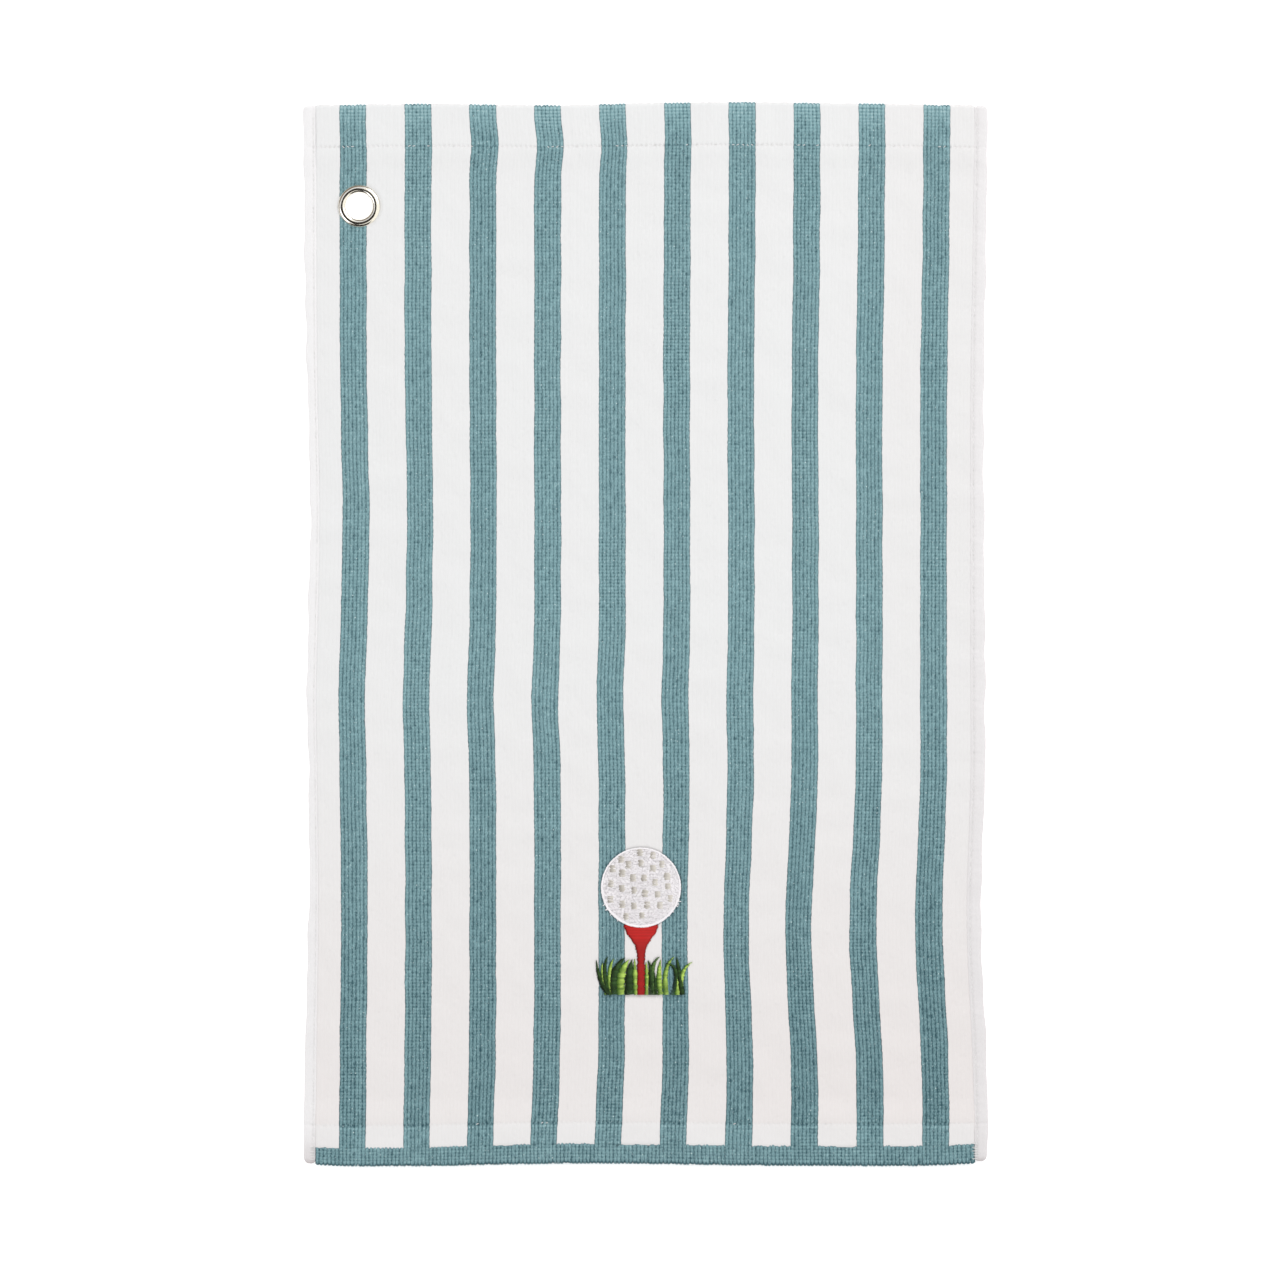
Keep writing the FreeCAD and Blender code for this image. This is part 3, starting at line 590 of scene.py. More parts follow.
def pile_material(name, deep, tip, fleck, flecks, patch, grain_share, roughness, reach=0.0):
    """Cut pile: deep between its ribs and tufts, tip at their tops, with stray pale fibres and large
    soft patches; the deep colour stands partly for painted shade down in the grooves. grain_share is how
    much single fibres differ, roughness how much they stand out, and reach how far past deep and tip its
    darkest and palest spots go; the darkest carry the painted shade round the end folds."""
    material, tree = shader(name, 0.95, Sheen_Weight=0.06, Sheen_Roughness=0.6)
    cloth = kept_vector(tree, "cloth")
    tone = parts_of(tree, cloth)[2]
    fibre = stretched_noise(tree, cloth, 0.5 * MM, 1.3 * MM)
    grain = stretched_noise(tree, cloth, 0.22 * MM, 0.3 * MM)
    share = maths(tree, "ADD", scaled(tree, fibre, grain_share, -0.5 * grain_share), tone)
    past_tip = clamped(tree, maths(tree, "MULTIPLY", maths(tree, "SUBTRACT", share, 1.0), 1.6 * reach))
    share = scaled(tree, share, 1 / (1 + reach), reach / (1 + reach))
    darkest = [t + (d - t) * (1 + reach) for d, t in zip(deep, tip)]
    tint = mixed(tree, past_tip, mixed(tree, share, darkest, tip), fleck)
    cloud = stretched_noise(tree, cloth, 70 * MM, 110 * MM)
    tint = mixed(tree, cloud, tint, patch, "MULTIPLY")
    stray = stretched_noise(tree, cloth, 0.9 * MM, 1.1 * MM, detail=0.0)
    stray = clamped(tree, maths(tree, "MULTIPLY", maths(tree, "SUBTRACT", stray, 0.72), flecks))
    tint = mixed(tree, stray, tint, fleck)
    surface(tree, tint, scaled(tree, grain, 0.6, fibre), 0.25 * MM, roughness)
    return material


def weave_material(name, deep, tip, pitch):
    """Plain weave: threads over and under, with a little unevenness."""
    material, tree = shader(name, 0.9, Sheen_Weight=0.15, Sheen_Roughness=0.6)
    cloth = kept_vector(tree, "cloth")
    across, along, tone = parts_of(tree, cloth)
    over = maths(tree, "SINE", maths(tree, "MULTIPLY", across, math.tau / pitch))
    under = maths(tree, "SINE", maths(tree, "MULTIPLY", along, math.tau / pitch))
    weave = maths(tree, "MULTIPLY", over, under)
    noise = stretched_noise(tree, cloth, 0.6 * MM, 1.5 * MM)
    share = scaled(tree, noise, 0.20, scaled(tree, weave, 0.04, tone))
    surface(tree, mixed(tree, share, deep, tip), scaled(tree, weave, 0.5, noise), 0.15 * MM, 0.5)
    return material


def thread_material(name, deep, tip, shine=0.4, gloss=0.2):
    """Twisted thread: each strand has its own shade, with fine slanting plies along it."""
    material, tree = shader(name, shine, Specular_IOR_Level=gloss, Anisotropic=0.4)
    travelled, around, shade = parts_of(tree, kept_vector(tree, "strand"))
    turns = scaled(tree, travelled, 1 / (0.6 * MM), around)
    ply = maths(tree, "SINE", maths(tree, "MULTIPLY", turns, math.tau))
    share = clamped(tree, scaled(tree, ply, 0.08, shade))
    surface(tree, mixed(tree, share, deep, tip), ply, 0.06 * MM, 0.6)
    return material


def metal_material():
    """Polished plate with faint handling marks."""
    material, tree = shader("plated_metal", 0.1, Metallic=1.0)
    marks = solid_noise(tree, 900.0, 4.0)
    tint = mixed(tree, solid_noise(tree, 120.0), (0.92, 0.89, 0.82, 1), (0.96, 0.94, 0.89, 1))
    rough = scaled(tree, marks, 0.12, 0.04)
    tree.links.new(rough, tree.nodes["Principled BSDF"].inputs["Roughness"])
    surface(tree, tint, marks, 0.01 * MM, 0.3)
    return material


def backing_material():
    """Pressed fibre backing: a felt of short fibres."""
    material, tree = shader("backing", 0.95, Sheen_Weight=0.1)
    felt = stretched_noise(tree, kept_vector(tree, "cloth"), 0.5 * MM, 0.5 * MM, detail=5.0)
    tint = mixed(tree, felt, (0.62, 0.62, 0.61, 1), (0.86, 0.86, 0.85, 1))
    surface(tree, tint, felt, 0.2 * MM, 0.6)
    return material


def floor_material():
    """Pale paper on a light table, which keeps shadows on it faint."""
    material, tree = shader("floor_paper", 0.9, Emission_Strength=0.35, Emission_Color=(1, 1, 1, 1))
    grain = solid_noise(tree, 400.0, 3.0)
    tint = mixed(tree, grain, (0.94, 0.94, 0.94, 1), (0.96, 0.96, 0.96, 1))
    surface(tree, tint, grain, 0.05 * MM, 0.2)
    return material


WHITE_PILE = pile_material("white_pile", deep=(0.772, 0.720, 0.706, 1), tip=(0.783, 0.796, 0.799, 1),
                           fleck=(0.88, 0.88, 0.88, 1), flecks=1.0, patch=(1.0, 0.985, 0.985, 1),
                           grain_share=0.25, roughness=0.25)
TEAL_PILE = pile_material("teal_pile", deep=(0.085, 0.175, 0.20, 1), tip=(0.266, 0.436, 0.468, 1),
                          fleck=(0.62, 0.76, 0.77, 1), flecks=5.0, patch=(0.87, 0.95, 0.96, 1),
                          grain_share=2.1, roughness=0.8, reach=0.35)
PILES = {"teal": TEAL_PILE, "white": WHITE_PILE}
COTTON = weave_material("white_cotton", (0.50, 0.445, 0.45, 1), (0.89, 0.885, 0.89, 1), 0.9 * MM)
SEWING = thread_material("sewing_thread", (0.66, 0.66, 0.65, 1), (0.88, 0.88, 0.87, 1), 0.6)
WHITE_RAYON = thread_material("white_rayon", (0.44, 0.41, 0.42, 1), (1.0, 0.97, 0.99, 1))
BEIGE_RAYON = thread_material("beige_rayon", (0.22, 0.19, 0.16, 1), (0.80, 0.76, 0.70, 1))
RED_RAYON = thread_material("red_rayon", (0.13, 0.005, 0.004, 1), (0.63, 0.021, 0.019, 1))
DARK_GREEN = thread_material("dark_green_rayon", (0.004, 0.012, 0.003, 1), (0.05, 0.125, 0.028, 1))
MID_GREEN = thread_material("mid_green_rayon", (0.012, 0.04, 0.008, 1), (0.16, 0.30, 0.07, 1))
LIGHT_GREEN = thread_material("light_green_rayon", (0.02, 0.10, 0.006, 1), (0.62, 0.86, 0.17, 1))
METAL_PLATE = metal_material()
BACKING = backing_material()


# ------------------------------------------------------------------ pile

TUFT_HEIGHTS = random.normal(0, 1, (200, 400))
RIB_HEIGHTS = random.normal(0, 1, 200)


def rib_number(u):
    """Which rib a place across the towel is in."""
    return np.floor((u + HALF_WIDTH) / RIB).astype(int)


def pressed(x, y):
    """How far the face pile is pressed down by the embroidery and the grommet, from 0 to 1."""
    from_ball = np.hypot(x - BALL.x, y - BALL.y)
    ball = smooth((BALL_RADIUS + 1.0 * MM - from_ball) / (1.4 * MM))
    from_eyelet = np.hypot(x - EYELET.x, y - EYELET.y)
    eyelet = smooth((FLANGE + 1.8 * MM - from_eyelet) / (2.4 * MM))
    return np.maximum.reduce([ball, eyelet, pressed_by_blades(x, y)])


def end_shade(u, s, round_fold, rib, over_edge, colour):
    """How much painted shade the pile gets: a dark line round the bottom fold and a little round the top
    fold, and a falloff of light toward the bottom end, less on the bottom hem; the white is also darker
    toward the right side.
    """
    under_edge = smooth((round_fold - 1.3) / 0.5)
    # Painted shade: a dark line where the bottom fold turns away from the light.
    painted_fold_line = smooth((round_fold - 0.18) / 0.35) * (1.5 - 0.8 * rib - 0.8 * under_edge)
    # Painted shade of light falling off toward the bottom end; on the white it is also darker toward the
    # right side.
    painted_falloff = smooth((20 * MM - s) / (310 * MM)) * (1 + 0.25 * smooth(u / CLOTH_HALF))
    if colour == "white":
        painted_falloff = np.maximum(painted_falloff, 0.32 * smooth((u - 110 * MM) / (60 * MM)))
    hem = smooth((-s - SEAM_AT + 1.0 * MM) / (0.8 * MM))
    painted_fold_shade = EDGE_SHADE[colour] * np.where(s > 0, 0.35 * over_edge, painted_fold_line)
    return painted_fold_shade + END_SHADE[colour] * painted_falloff * (1 - 0.55 * hem)


def face_rise(u, s, in_rib, colour):
    """Height of the face pile over the weave's middle, and its shade from 0 to 1."""
    number = rib_number(u)
    tuft = TUFT_HEIGHTS[number, np.floor((s + CLOTH_END) / TUFT_PITCH).astype(int)]
    far = np.abs(s)
    along = np.abs(path(s)[0])
    front = far < FOLD_AT
    round_fold = (far - FOLD_AT) / FOLD_BEND
    over_edge = smooth((round_fold - 0.45) / 0.35)
    rib = 1 - np.abs(2 * in_rib - 1) ** 3
    row = 0.5 - 0.5 * np.cos((s + FOLD_AT) / TUFT_PITCH * math.tau)
    gathered = smooth((far - HALF_LENGTH + 20 * MM) / (18 * MM))
    selvedge = smooth((np.abs(u) - CLOTH_HALF + 1.2 * MM) / (1.2 * MM))
    seam = near(along, SEAM_AT, 0.7 * MM) * (0.5 + 0.5 * np.cos(u * math.tau / STITCH)) * front
    seam = seam * np.where(s > 0, TOP_SEAM[colour], 1)

    rib_depth = RIB_DEPTH[colour] * (1 + 0.8 * over_edge)
    row_depth = ROW_DEPTH[colour] + (HEM_ROW_DEPTH[colour] - ROW_DEPTH[colour]) * gathered
    uneven = (0.05 * tuft + 0.03 * RIB_HEIGHTS[number]) * (1 + 1.5 * over_edge)
    height = 1 - rib_depth * (1 - rib) - row_depth * (1 - row) + uneven
    height = height * (1 - SEAM_DEPTH[colour] * seam) * (1 - 0.45 * selvedge)
    x, y = flat_place(u, s, PILE)[:2]
    height = height * np.where(front, 1 - 0.78 * pressed(x, y), 1)

    # Partly painted shade: darker down between the ribs and rows; the tuft and rib numbers add random tone.
    pattern = 0.78 * (rib - 0.75) + 0.12 * tuft + 0.05 * RIB_HEIGHTS[number]
    pattern += (row - 0.5) * (0.08 + gathered * np.where(s > 0, 0.52, 0.16)) + 0.40 * gathered * (s > 0)
    pattern += 0.16 * (row - 0.5) * (1 + waves(u, s, 90 * MM, seed=14))
    # Painted highlight: a pale line on the hem side of each seam, where the groove's wall catches the
    # light.
    pattern += 0.45 * near(along, SEAM_AT + 1.7 * MM, 0.6 * MM) * rib * front
    tone = SHADE[colour] + CONTRAST[colour] * (pattern - 0.5 * selvedge)
    # Painted shade in the seams' grooves and round the end folds, and a painted falloff of light toward the
    # bottom end.
    tone -= SEAM_SHADE[colour] * seam * (0.35 + 0.65 * rib)
    tone -= end_shade(u, s, round_fold, rib, over_edge, colour)
    return GROUND / 2 + PILE * np.clip(height, 0.05, 1.15), tone


def wandering(u, s):
    """Ribs don't run quite straight: their place across, a little off true."""
    fine = 0.10 * MM * waves(u, s, 1.8 * MM, seed=13)
    return u + fine + 0.07 * MM * waves(u, s, 7 * MM, seed=11) + 0.15 * MM * waves(u, s, 45 * MM, seed=12)


def face_strip(name, left, right, colour):
    """A strip of face pile between two lines along the towel, thinner where the band covers its end."""
    across, in_rib = strip_columns(left, right, RIB_COLUMNS)
    u, s = np.meshgrid(across, cloth_rows(-BAND_START - BAND_LAP, CLOTH_END, ROW))
    u = wandering(u, s)
    rise, tone = face_rise(u, s, in_rib[None, :], colour)
    rise = rise - (rise - GROUND / 2) * 0.6 * smooth((-s - BAND_START + 0.5 * MM) / BAND_LAP)
    pierced = reaches_grommet(left, right, FLANGE)
    piece = layer_piece(name, u, s, rise, PILE_FOOT, tone, pierced)
    return finish_piece(piece, PILES[colour], name)


def white_edges():
    """Left and right edge of each white strip, between the teal ones and the side hems."""
    lefts = [-CLOTH_HALF] + [edges[1] for edges in TEAL_EDGES]
    rights = [edges[0] for edges in TEAL_EDGES] + [CLOTH_HALF]
    return list(zip(lefts, rights))


def make_face():
    """Every stripe of face pile."""
    for colour, strips in (("teal", TEAL_EDGES), ("white", white_edges())):
        for number, (left, right) in enumerate(strips, start=1):
            face_strip("%s_stripe_%02d" % (colour, number), left, right, colour)


def make_band():
    """The teal band over the bottom fold: its ribs run on from every stripe above it."""
    across, in_rib = [], []
    for left, right in sorted(TEAL_EDGES + [list(edges) for edges in white_edges()]):
        columns, share = strip_columns(left, right, RIB_COLUMNS)
        across.append(columns[:-1])
        in_rib.append(share[:-1])
    across = np.concatenate(across + [[CLOTH_HALF]])
    in_rib = np.concatenate(in_rib + [[0.0]])
    u, s = np.meshgrid(across, cloth_rows(-CLOTH_END, -BAND_START, ROW))
    u = wandering(u, s)
    rise, tone = face_rise(u, s, in_rib[None, :], "teal")
    last = np.arange(len(s))[:, None] == len(s) - 1
    toothed = 0.35 * MM * TUFT_HEIGHTS[rib_number(u), 7] + 0.5 * MM * waves(u, s, 60 * MM, seed=21)
    s = s + np.where(last, toothed, 0)
    rise = rise + np.where(s > -BAND_START - 1.5 * MM, 0.05 * MM, 0)
    finish_piece(layer_piece("teal_end_band", u, s, rise, PILE_FOOT, tone), TEAL_PILE, "teal_end_band")


# ------------------------------------------------------------------ ground weave and back

def fine_near(coarse, middle):
    """Marks with closer ones added about a middle."""
    closer = np.arange(middle - 14 * MM, middle + 14 * MM, 0.8 * MM)
    return np.unique(np.round(np.concatenate([coarse, closer]), 6))


def make_ground():
    """The ground weave as one closed sheet, turned under at both ends and pierced for the grommet."""
    across = fine_near(np.linspace(-CLOTH_HALF, CLOTH_HALF, 80), EYELET.x)
    rows = fine_near(cloth_rows(-CLOTH_END, CLOTH_END, 5 * MM), EYELET.y)
    u, s = np.meshgrid(across, rows)
    half = np.full(u.shape, GROUND / 2 - 0.02 * MM)
    front = place(u, s, half).reshape(-1, 3)
    back = place(u, s, -half).reshape(-1, 3)
    faces = grid_faces(*u.shape)
    faces = faces[outside(front[faces].mean(axis=1), EYELET, WEAVE_HOLE)]
    cloth = np.stack([u, s, np.full(u.shape, 0.6)], axis=-1).reshape(-1, 3)
    return finish_piece(closed_sheet("ground_weave", front, back, faces, cloth), COTTON, "ground_weave")


def under_backing(x, y, margin):
    """Whether the embroidery's backing covers a point, less a margin."""
    disc = np.hypot(x - BALL.x, y - BALL.y) < BALL_RADIUS + BACKING_RIM - margin
    beside = (x > BACK_LOW.x + margin) & (x < BACK_HIGH.x - margin)
    return disc | beside & (y > BACK_LOW.y + margin) & (y < BALL.y)


def loop_strip(edges):
    """Points and surface of one strip of loops on the back."""
    across, in_rib = strip_columns(edges[0], edges[1], LOOP_COLUMNS)
    u, s = np.meshgrid(across, np.arange(-BACK_END, BACK_END + 0.6 * MM, LOOP_PITCH))
    u = u + 0.2 * MM * waves(u, s, 5 * MM, seed=31)
    loop = TUFT_HEIGHTS[rib_number(u), np.floor((s + CLOTH_END) / LOOP_PITCH).astype(int) % 400]
    rib = 1 - np.abs(2 * in_rib[None, :] - 1) ** 2
    x, y = flat_place(u, s, 0)[:2]
    washer = smooth((WASHER + 1.5 * MM - np.hypot(x - EYELET.x, y - EYELET.y)) / (2 * MM))
    flattened = np.maximum(np.where(under_backing(x, y, -1.6 * MM), 1.15, 0), washer)
    height = np.clip((0.62 + 0.3 * rib + 0.12 * loop) * (1 - 0.8 * flattened), 0.04, 1.0)
    # The tone is partly painted shade, darker at the sides of each rib of loops; the loop numbers add
    # random tone.
    return u, s, -(GROUND / 2 + LOOP * height), 0.45 * rib + 0.15 + 0.12 * loop


def make_back(colour, edges_list):
    """Loops of one colour on the back, behind the other colour's stripes; one piece of many strips."""
    label = colour + "_back_loops"
    strips = []
    for number, edges in enumerate(edges_list, start=1):
        u, s, rise, tone = loop_strip(edges)
        pierced = reaches_grommet(*edges, WASHER)
        strips.append(layer_piece("%s_%02d" % (label, number), u, s, rise, -PILE_FOOT, tone, pierced))
    finish_piece(joined(label, strips), PILES[colour], label)


# ------------------------------------------------------------------ side hems

RING = 32
SQUARENESS = 0.72
LOW_ROUND = 4.0 * MM
HIGH_ROUND = 2.4 * MM


def side_height(y):
    """Thickness of a side hem, more where the end hems double it."""
    return SIDE_HEIGHT + (HEM_TOP - SIDE_HEIGHT) * doubled_share(np.abs(y))


def squared(part):
    """A sine or cosine pushed outward, which makes a ring squarer."""
    return np.sign(part) * np.abs(part) ** SQUARENESS


def side_shade(y, out, from_inner, foot, side):
    """Shade of a side hem: painted shade in its seam, at its outer edge, along its lower half and at its
    foot; the right hem is a little darker than the left.
    """
    tone = 0.72 - 0.08 * side - 0.10 * near(from_inner, SIDE_SEAM, 0.6 * MM) - 0.45 * smooth(out * 8 - 7)
    # Painted falloff of light toward the bottom, and painted shade at the foot.
    tone = tone - 0.09 * smooth((80 * MM - y) / (300 * MM))
    tone = tone - (0.18 - 0.12 * side) * smooth((foot + 22 * MM - y) / (18 * MM))
    return tone - 0.40 * smooth((foot + 4 * MM - y) / (4 * MM))


def make_side_hem(label, side):
    """A selvedge rolled to the back and stitched down, doubled where the end hems fold it."""
    end = HALF_LENGTH - 0.3 * MM
    foot = -HALF_LENGTH + (1.0 + 0.4 * side) * MM
    closer = np.geomspace(0.02 * MM, 4 * MM, 10)
    y = np.concatenate([np.arange(foot, end, 0.7 * MM), foot + closer, end - closer, [end]])
    y = np.unique(y)[:, None]
    half_high = side_height(y) / 2
    half_wide = (SIDE_WIDTH + SIDE_LAP) / 2 * (1 + 0.05 * waves(y, 0 * y, 24 * MM, seed=40 + side))
    low = np.clip((LOW_ROUND - (y - foot)) / LOW_ROUND, 0, 1)
    high = np.clip((HIGH_ROUND - (end - y)) / HIGH_ROUND, 0, 1)
    taper = np.sqrt(np.maximum(1 - np.maximum(low, high) ** 2, 0.0004))
    angle = np.linspace(0, math.tau, RING, endpoint=False)[None, :]
    out = squared(np.cos(angle))
    up = squared(np.sin(angle))
    from_inner = (out + 1) * half_wide - SIDE_LAP
    holes = 0.7 + 0.3 * np.cos(y * math.tau / STITCH)
    groove = 0.55 * MM * near(from_inner, SIDE_SEAM, 0.6 * MM) * holes
    groove = groove + 0.5 * MM * near(np.abs(y), SEAM_AT, 0.8 * MM)
    groove -= 0.10 * MM * waves(y + 0.5 * from_inner, 0.6 * from_inner, 5 * MM, seed=50 + side)
    layers = 0.5 * MM * doubled_share(np.abs(y)) * near(up, 0, 0.25) * (out > 0)
    x = side * (CLOTH_HALF + half_wide - SIDE_LAP + (out * half_wide - layers) * (0.12 + 0.88 * taper))
    z = half_high + up * (half_high - groove) * taper
    y = np.broadcast_to(y, x.shape)
    points = on_face(*pulled(x, y), np.maximum(z, 0))
    index = np.arange(x.size).reshape(x.shape)
    quads, caps = tube_faces(index), [index[0][::-1], index[-1]]
    if side < 0:
        quads, caps = flipped(quads, caps)
    tone = side_shade(y, out, from_inner, foot, side)
    cloth = np.stack([x + 0.3 * z, y + 0.4 * z, tone], axis=-1)
    piece = new_piece(label, points.reshape(-1, 3), quads, caps, {"cloth": cloth.reshape(-1, 3)})
    return finish_piece(piece, COTTON, label)


# ------------------------------------------------------------------ threads

def strands(name, lines, width, height, shade, sides=6):
    """Threads as closed tubes: lines holds points along each one, [thread, point, xyz]; width and
    height are half sizes of their section; shade is a value for each thread, or for each point."""
    count, steps = lines.shape[:2]
    ahead = np.gradient(lines, axis=1)
    flat = np.stack([-ahead[..., 1], ahead[..., 0], np.zeros_like(ahead[..., 0])], axis=-1)
    flat /= np.maximum(np.linalg.norm(flat, axis=-1, keepdims=True), 1e-9)
    up = np.array([0, 0, 1.0])
    angle = np.linspace(0, math.tau, sides, endpoint=False)
    ends = np.ones(steps)
    ends[[0, -1]] = 0.45
    ring_side = np.cos(angle)[:, None] * flat[:, :, None, :] * (width * ends)[:, None, None]
    ring_up = np.sin(angle)[:, None] * up * (height * ends)[:, None, None]
    points = (lines[:, :, None, :] + ring_side + ring_up).reshape(-1, 3)
    index = np.arange(count * steps * sides).reshape(count, steps, sides)
    quads = np.roll(tube_faces(index)[:, ::-1], 1, axis=1)
    caps = [cap for thread in index for cap in (thread[0][::-1].tolist(), thread[-1].tolist())]
    moved = np.linalg.norm(np.diff(lines, axis=1), axis=-1)
    travelled = np.concatenate([np.zeros((count, 1)), np.cumsum(moved, axis=1)], axis=1)
    shade = np.asarray(shade, dtype=float).reshape(count, -1)
    values = (travelled[:, :, None], angle / math.tau, shade[:, :, None])
    strand = np.stack([np.broadcast_to(value, index.shape) for value in values], axis=-1)
    return new_piece(name, points, quads, caps, {"strand": strand.reshape(-1, 3)})


def satin_shares(steps):
    """How far along a stitch its points are, from 0 to 1, closer together at its ends."""
    return 0.5 - 0.5 * np.cos(np.linspace(0, math.pi, steps))[None, :]


def satin_lines(starts, ends, low, high, steps):
    """Threads laid from starts to ends, dipping at both ends: heights go from low up to high."""
    share = satin_shares(steps)
    arch = 1 - np.abs(2 * share - 1) ** 4
    x = starts[:, :1] + (ends[:, :1] - starts[:, :1]) * share
    y = starts[:, 1:2] + (ends[:, 1:2] - starts[:, 1:2]) * share
    return on_face(x, y, np.broadcast_to(low + (high - low) * arch, x.shape))


ALONG_STITCH = np.linspace(0, 1, 6)[None, :]
ACROSS_STITCH = np.linspace(-1, 1, 6)[None, :]
STITCH_ARCH = 1 - ACROSS_STITCH ** 4


def stitch_marks(start, stop):
    """Where each stitch of a seam starts, and the places of its points along the seam."""
    first = np.arange(start, stop - STITCH, STITCH)
    return first, first[:, None] + STITCH * (0.08 + 0.84 * ALONG_STITCH)


def finish_sewing(label, *parts, width=0.21 * MM, height=0.17 * MM):
    """Cotton thread along several sets of lines, as one piece."""
    lines = np.concatenate(parts)
    piece = strands(label, lines, width, height, random.uniform(0.4, 1.0, len(lines)))
    finish_piece(piece, SEWING, label)


def make_hem_thread(label, side):
    """Lockstitch along an end hem: needle thread on the face, bobbin thread on the back."""
    first, u = stitch_marks(-CLOTH_HALF + 1 * MM, CLOTH_HALF)
    v = SEAM_AT + scatter(0.5 * MM, first.shape)[:, None] * ACROSS_STITCH
    loose = (0.42 if side > 0 else 0.08) * (1 + 0.8 * waves(first, 0 * first, 50 * MM, seed=45 + side))
    proud = np.where(random.uniform(0, 1, first.shape) < loose, 0.8, 0)[:, None] * MM
    needle = place(u, side * v, GROUND / 2 + 0.05 * MM + (0.08 * MM + proud) * STITCH_ARCH)
    turned = FOLD_AT + FOLD_LENGTH + (FOLD_AT - v)
    bobbin = place(u, side * turned, GROUND / 2 + 0.10 * MM + 0.55 * MM * STITCH_ARCH)
    finish_sewing(label, needle, bobbin)


def make_side_thread(label, side):
    """Lockstitch along a side hem, just inside its edge, and tacks across its foot."""
    first, y = stitch_marks(-HALF_LENGTH + 5 * MM, HALF_LENGTH - 5 * MM)
    x = side * (CLOTH_HALF + SIDE_SEAM) + scatter(0.1 * MM, first.shape)[:, None] + 0 * y
    u, v = pulled(x, y)
    needle = on_face(u, v, side_height(y) - 0.62 * MM + 0.25 * MM * STITCH_ARCH)
    bobbin = on_face(u, v, 0.62 * MM - 0.3 * MM * STITCH_ARCH)
    tack_y = np.linspace(-HALF_LENGTH + 3.5 * MM, -HALF_LENGTH + 12.5 * MM, 7)[:, None]
    tack_y = tack_y + scatter(0.25 * MM, tack_y.shape)
    inner = np.where(random.uniform(0, 1, tack_y.shape) < 0.5, -1.7, -0.9) if side > 0 else 0.2
    tack_x = side * (CLOTH_HALF + (inner + 3.2 * ALONG_STITCH) * MM)
    u, v = pulled(tack_x, tack_y + 0 * tack_x)
    finish_sewing(label, needle, bobbin, on_face(u, v, HEM_TOP - 0.30 * MM + 0.35 * MM * STITCH_ARCH))


# ------------------------------------------------------------------ grommet

TURNS = 160
SEAT = MIDDLE + GROUND / 2
CROWN_AT = BORE + 2.1 * MM
CROWN_HEIGHT = 1.9 * MM
ROLL = 0.7 * MM
DISH = BORE + 1.8 * MM
WASHER_LOW = LOOP - 0.85 * MM


def arc(centre, size, start, stop, steps):
    """Points of an elliptical arc: centre and size are (radius, level), angles in degrees."""
    angle = np.radians(np.linspace(start, stop, steps))
    return [(centre[0] + size[0] * math.cos(a), centre[1] + size[1] * math.sin(a)) for a in angle]


def crown(inset, steps):
    """The eyelet's dome from its bore out to its rim, at an inset under the outer surface."""
    step, rise = 0.5 * MM, CROWN_HEIGHT - inset
    bore_side = arc((CROWN_AT, SEAT + step), (CROWN_AT - BORE - inset, rise - step), 180, 90, steps)
    step = 0.25 * MM
    rim_side = arc((CROWN_AT, SEAT + step), (FLANGE - CROWN_AT - inset, rise - step), 90, 0, steps)
    return bore_side + rim_side[1:]


def lathe(name, profile):
    """A closed profile of (radius, level) in metres, turned about the grommet's bore."""
    radius, level = np.array(profile[::-1]).T
    turn = np.linspace(0, math.tau, TURNS, endpoint=False)[:, None]
    x = EYELET.x + radius * np.cos(turn)
    y = EYELET.y + radius * np.sin(turn)
    laid = relief(np.array([EYELET.x]), np.array([EYELET.y]))[0]
    points = np.stack([x, y, np.broadcast_to(level + laid, x.shape)], axis=-1).reshape(-1, 3)
    index = np.arange(x.size).reshape(x.shape)
    finish_piece(new_piece(name, points, tube_faces(np.vstack([index, index[:1]]))), METAL_PLATE, name)


def make_grommet():
    """An eyelet with its barrel rolled outward over a dished washer."""
    edge = arc((FLANGE - METAL / 2, SEAT + 0.2 * MM), (METAL / 2, METAL / 2), 0, -180, 6)
    curl = (BORE + ROLL, ROLL + 0.05 * MM)
    curled = arc(curl, (ROLL - METAL, ROLL - METAL), 180, 360, 8) + arc(curl, (ROLL, ROLL), 360, 180, 12)
    lathe("grommet_eyelet", crown(0, 14) + edge[1:] + crown(METAL, 10)[::-1] + curled)
    profile = [(BORE + METAL, LOOP), (WASHER - 0.05 * MM, LOOP)]
    profile += arc((WASHER - 0.45 * MM, LOOP - 0.4 * MM), (0.45 * MM, 0.45 * MM), 60, -90, 8)
    profile += arc((DISH + 0.5 * MM, WASHER_LOW + 0.25 * MM), (0.5 * MM, 0.25 * MM), -90, -160, 6)
    profile += [(DISH - 0.2 * MM, LOOP - METAL), (BORE + METAL, LOOP - METAL)]
    lathe("grommet_washer", profile)


# ------------------------------------------------------------------ embroidery

# Dimples of the ball, in mm from its middle (across, up).
DIMPLES = [
    (-0.6, 21.0), (7.2, 19.2), (-11.9, 16.9), (-7.5, 13.6), (0.0, 14.5), (7.2, 11.5),
    (12.5, 13.9), (-17.0, 11.2), (-11.3, 8.5), (-4.8, 5.8), (1.8, 5.8), (8.4, 3.2),
    (15.5, 6.7), (-17.9, 2.2), (-11.3, -0.4), (-4.2, -1.6), (2.4, -3.4), (10.0, -4.0),
    (16.1, 0.8), (17.5, -6.4), (-18.2, -7.0), (-11.3, -10.0), (-4.2, -10.9), (3.6, -10.6),
    (11.3, -10.6), (-8.9, -17.1), (0.6, -16.5),
]

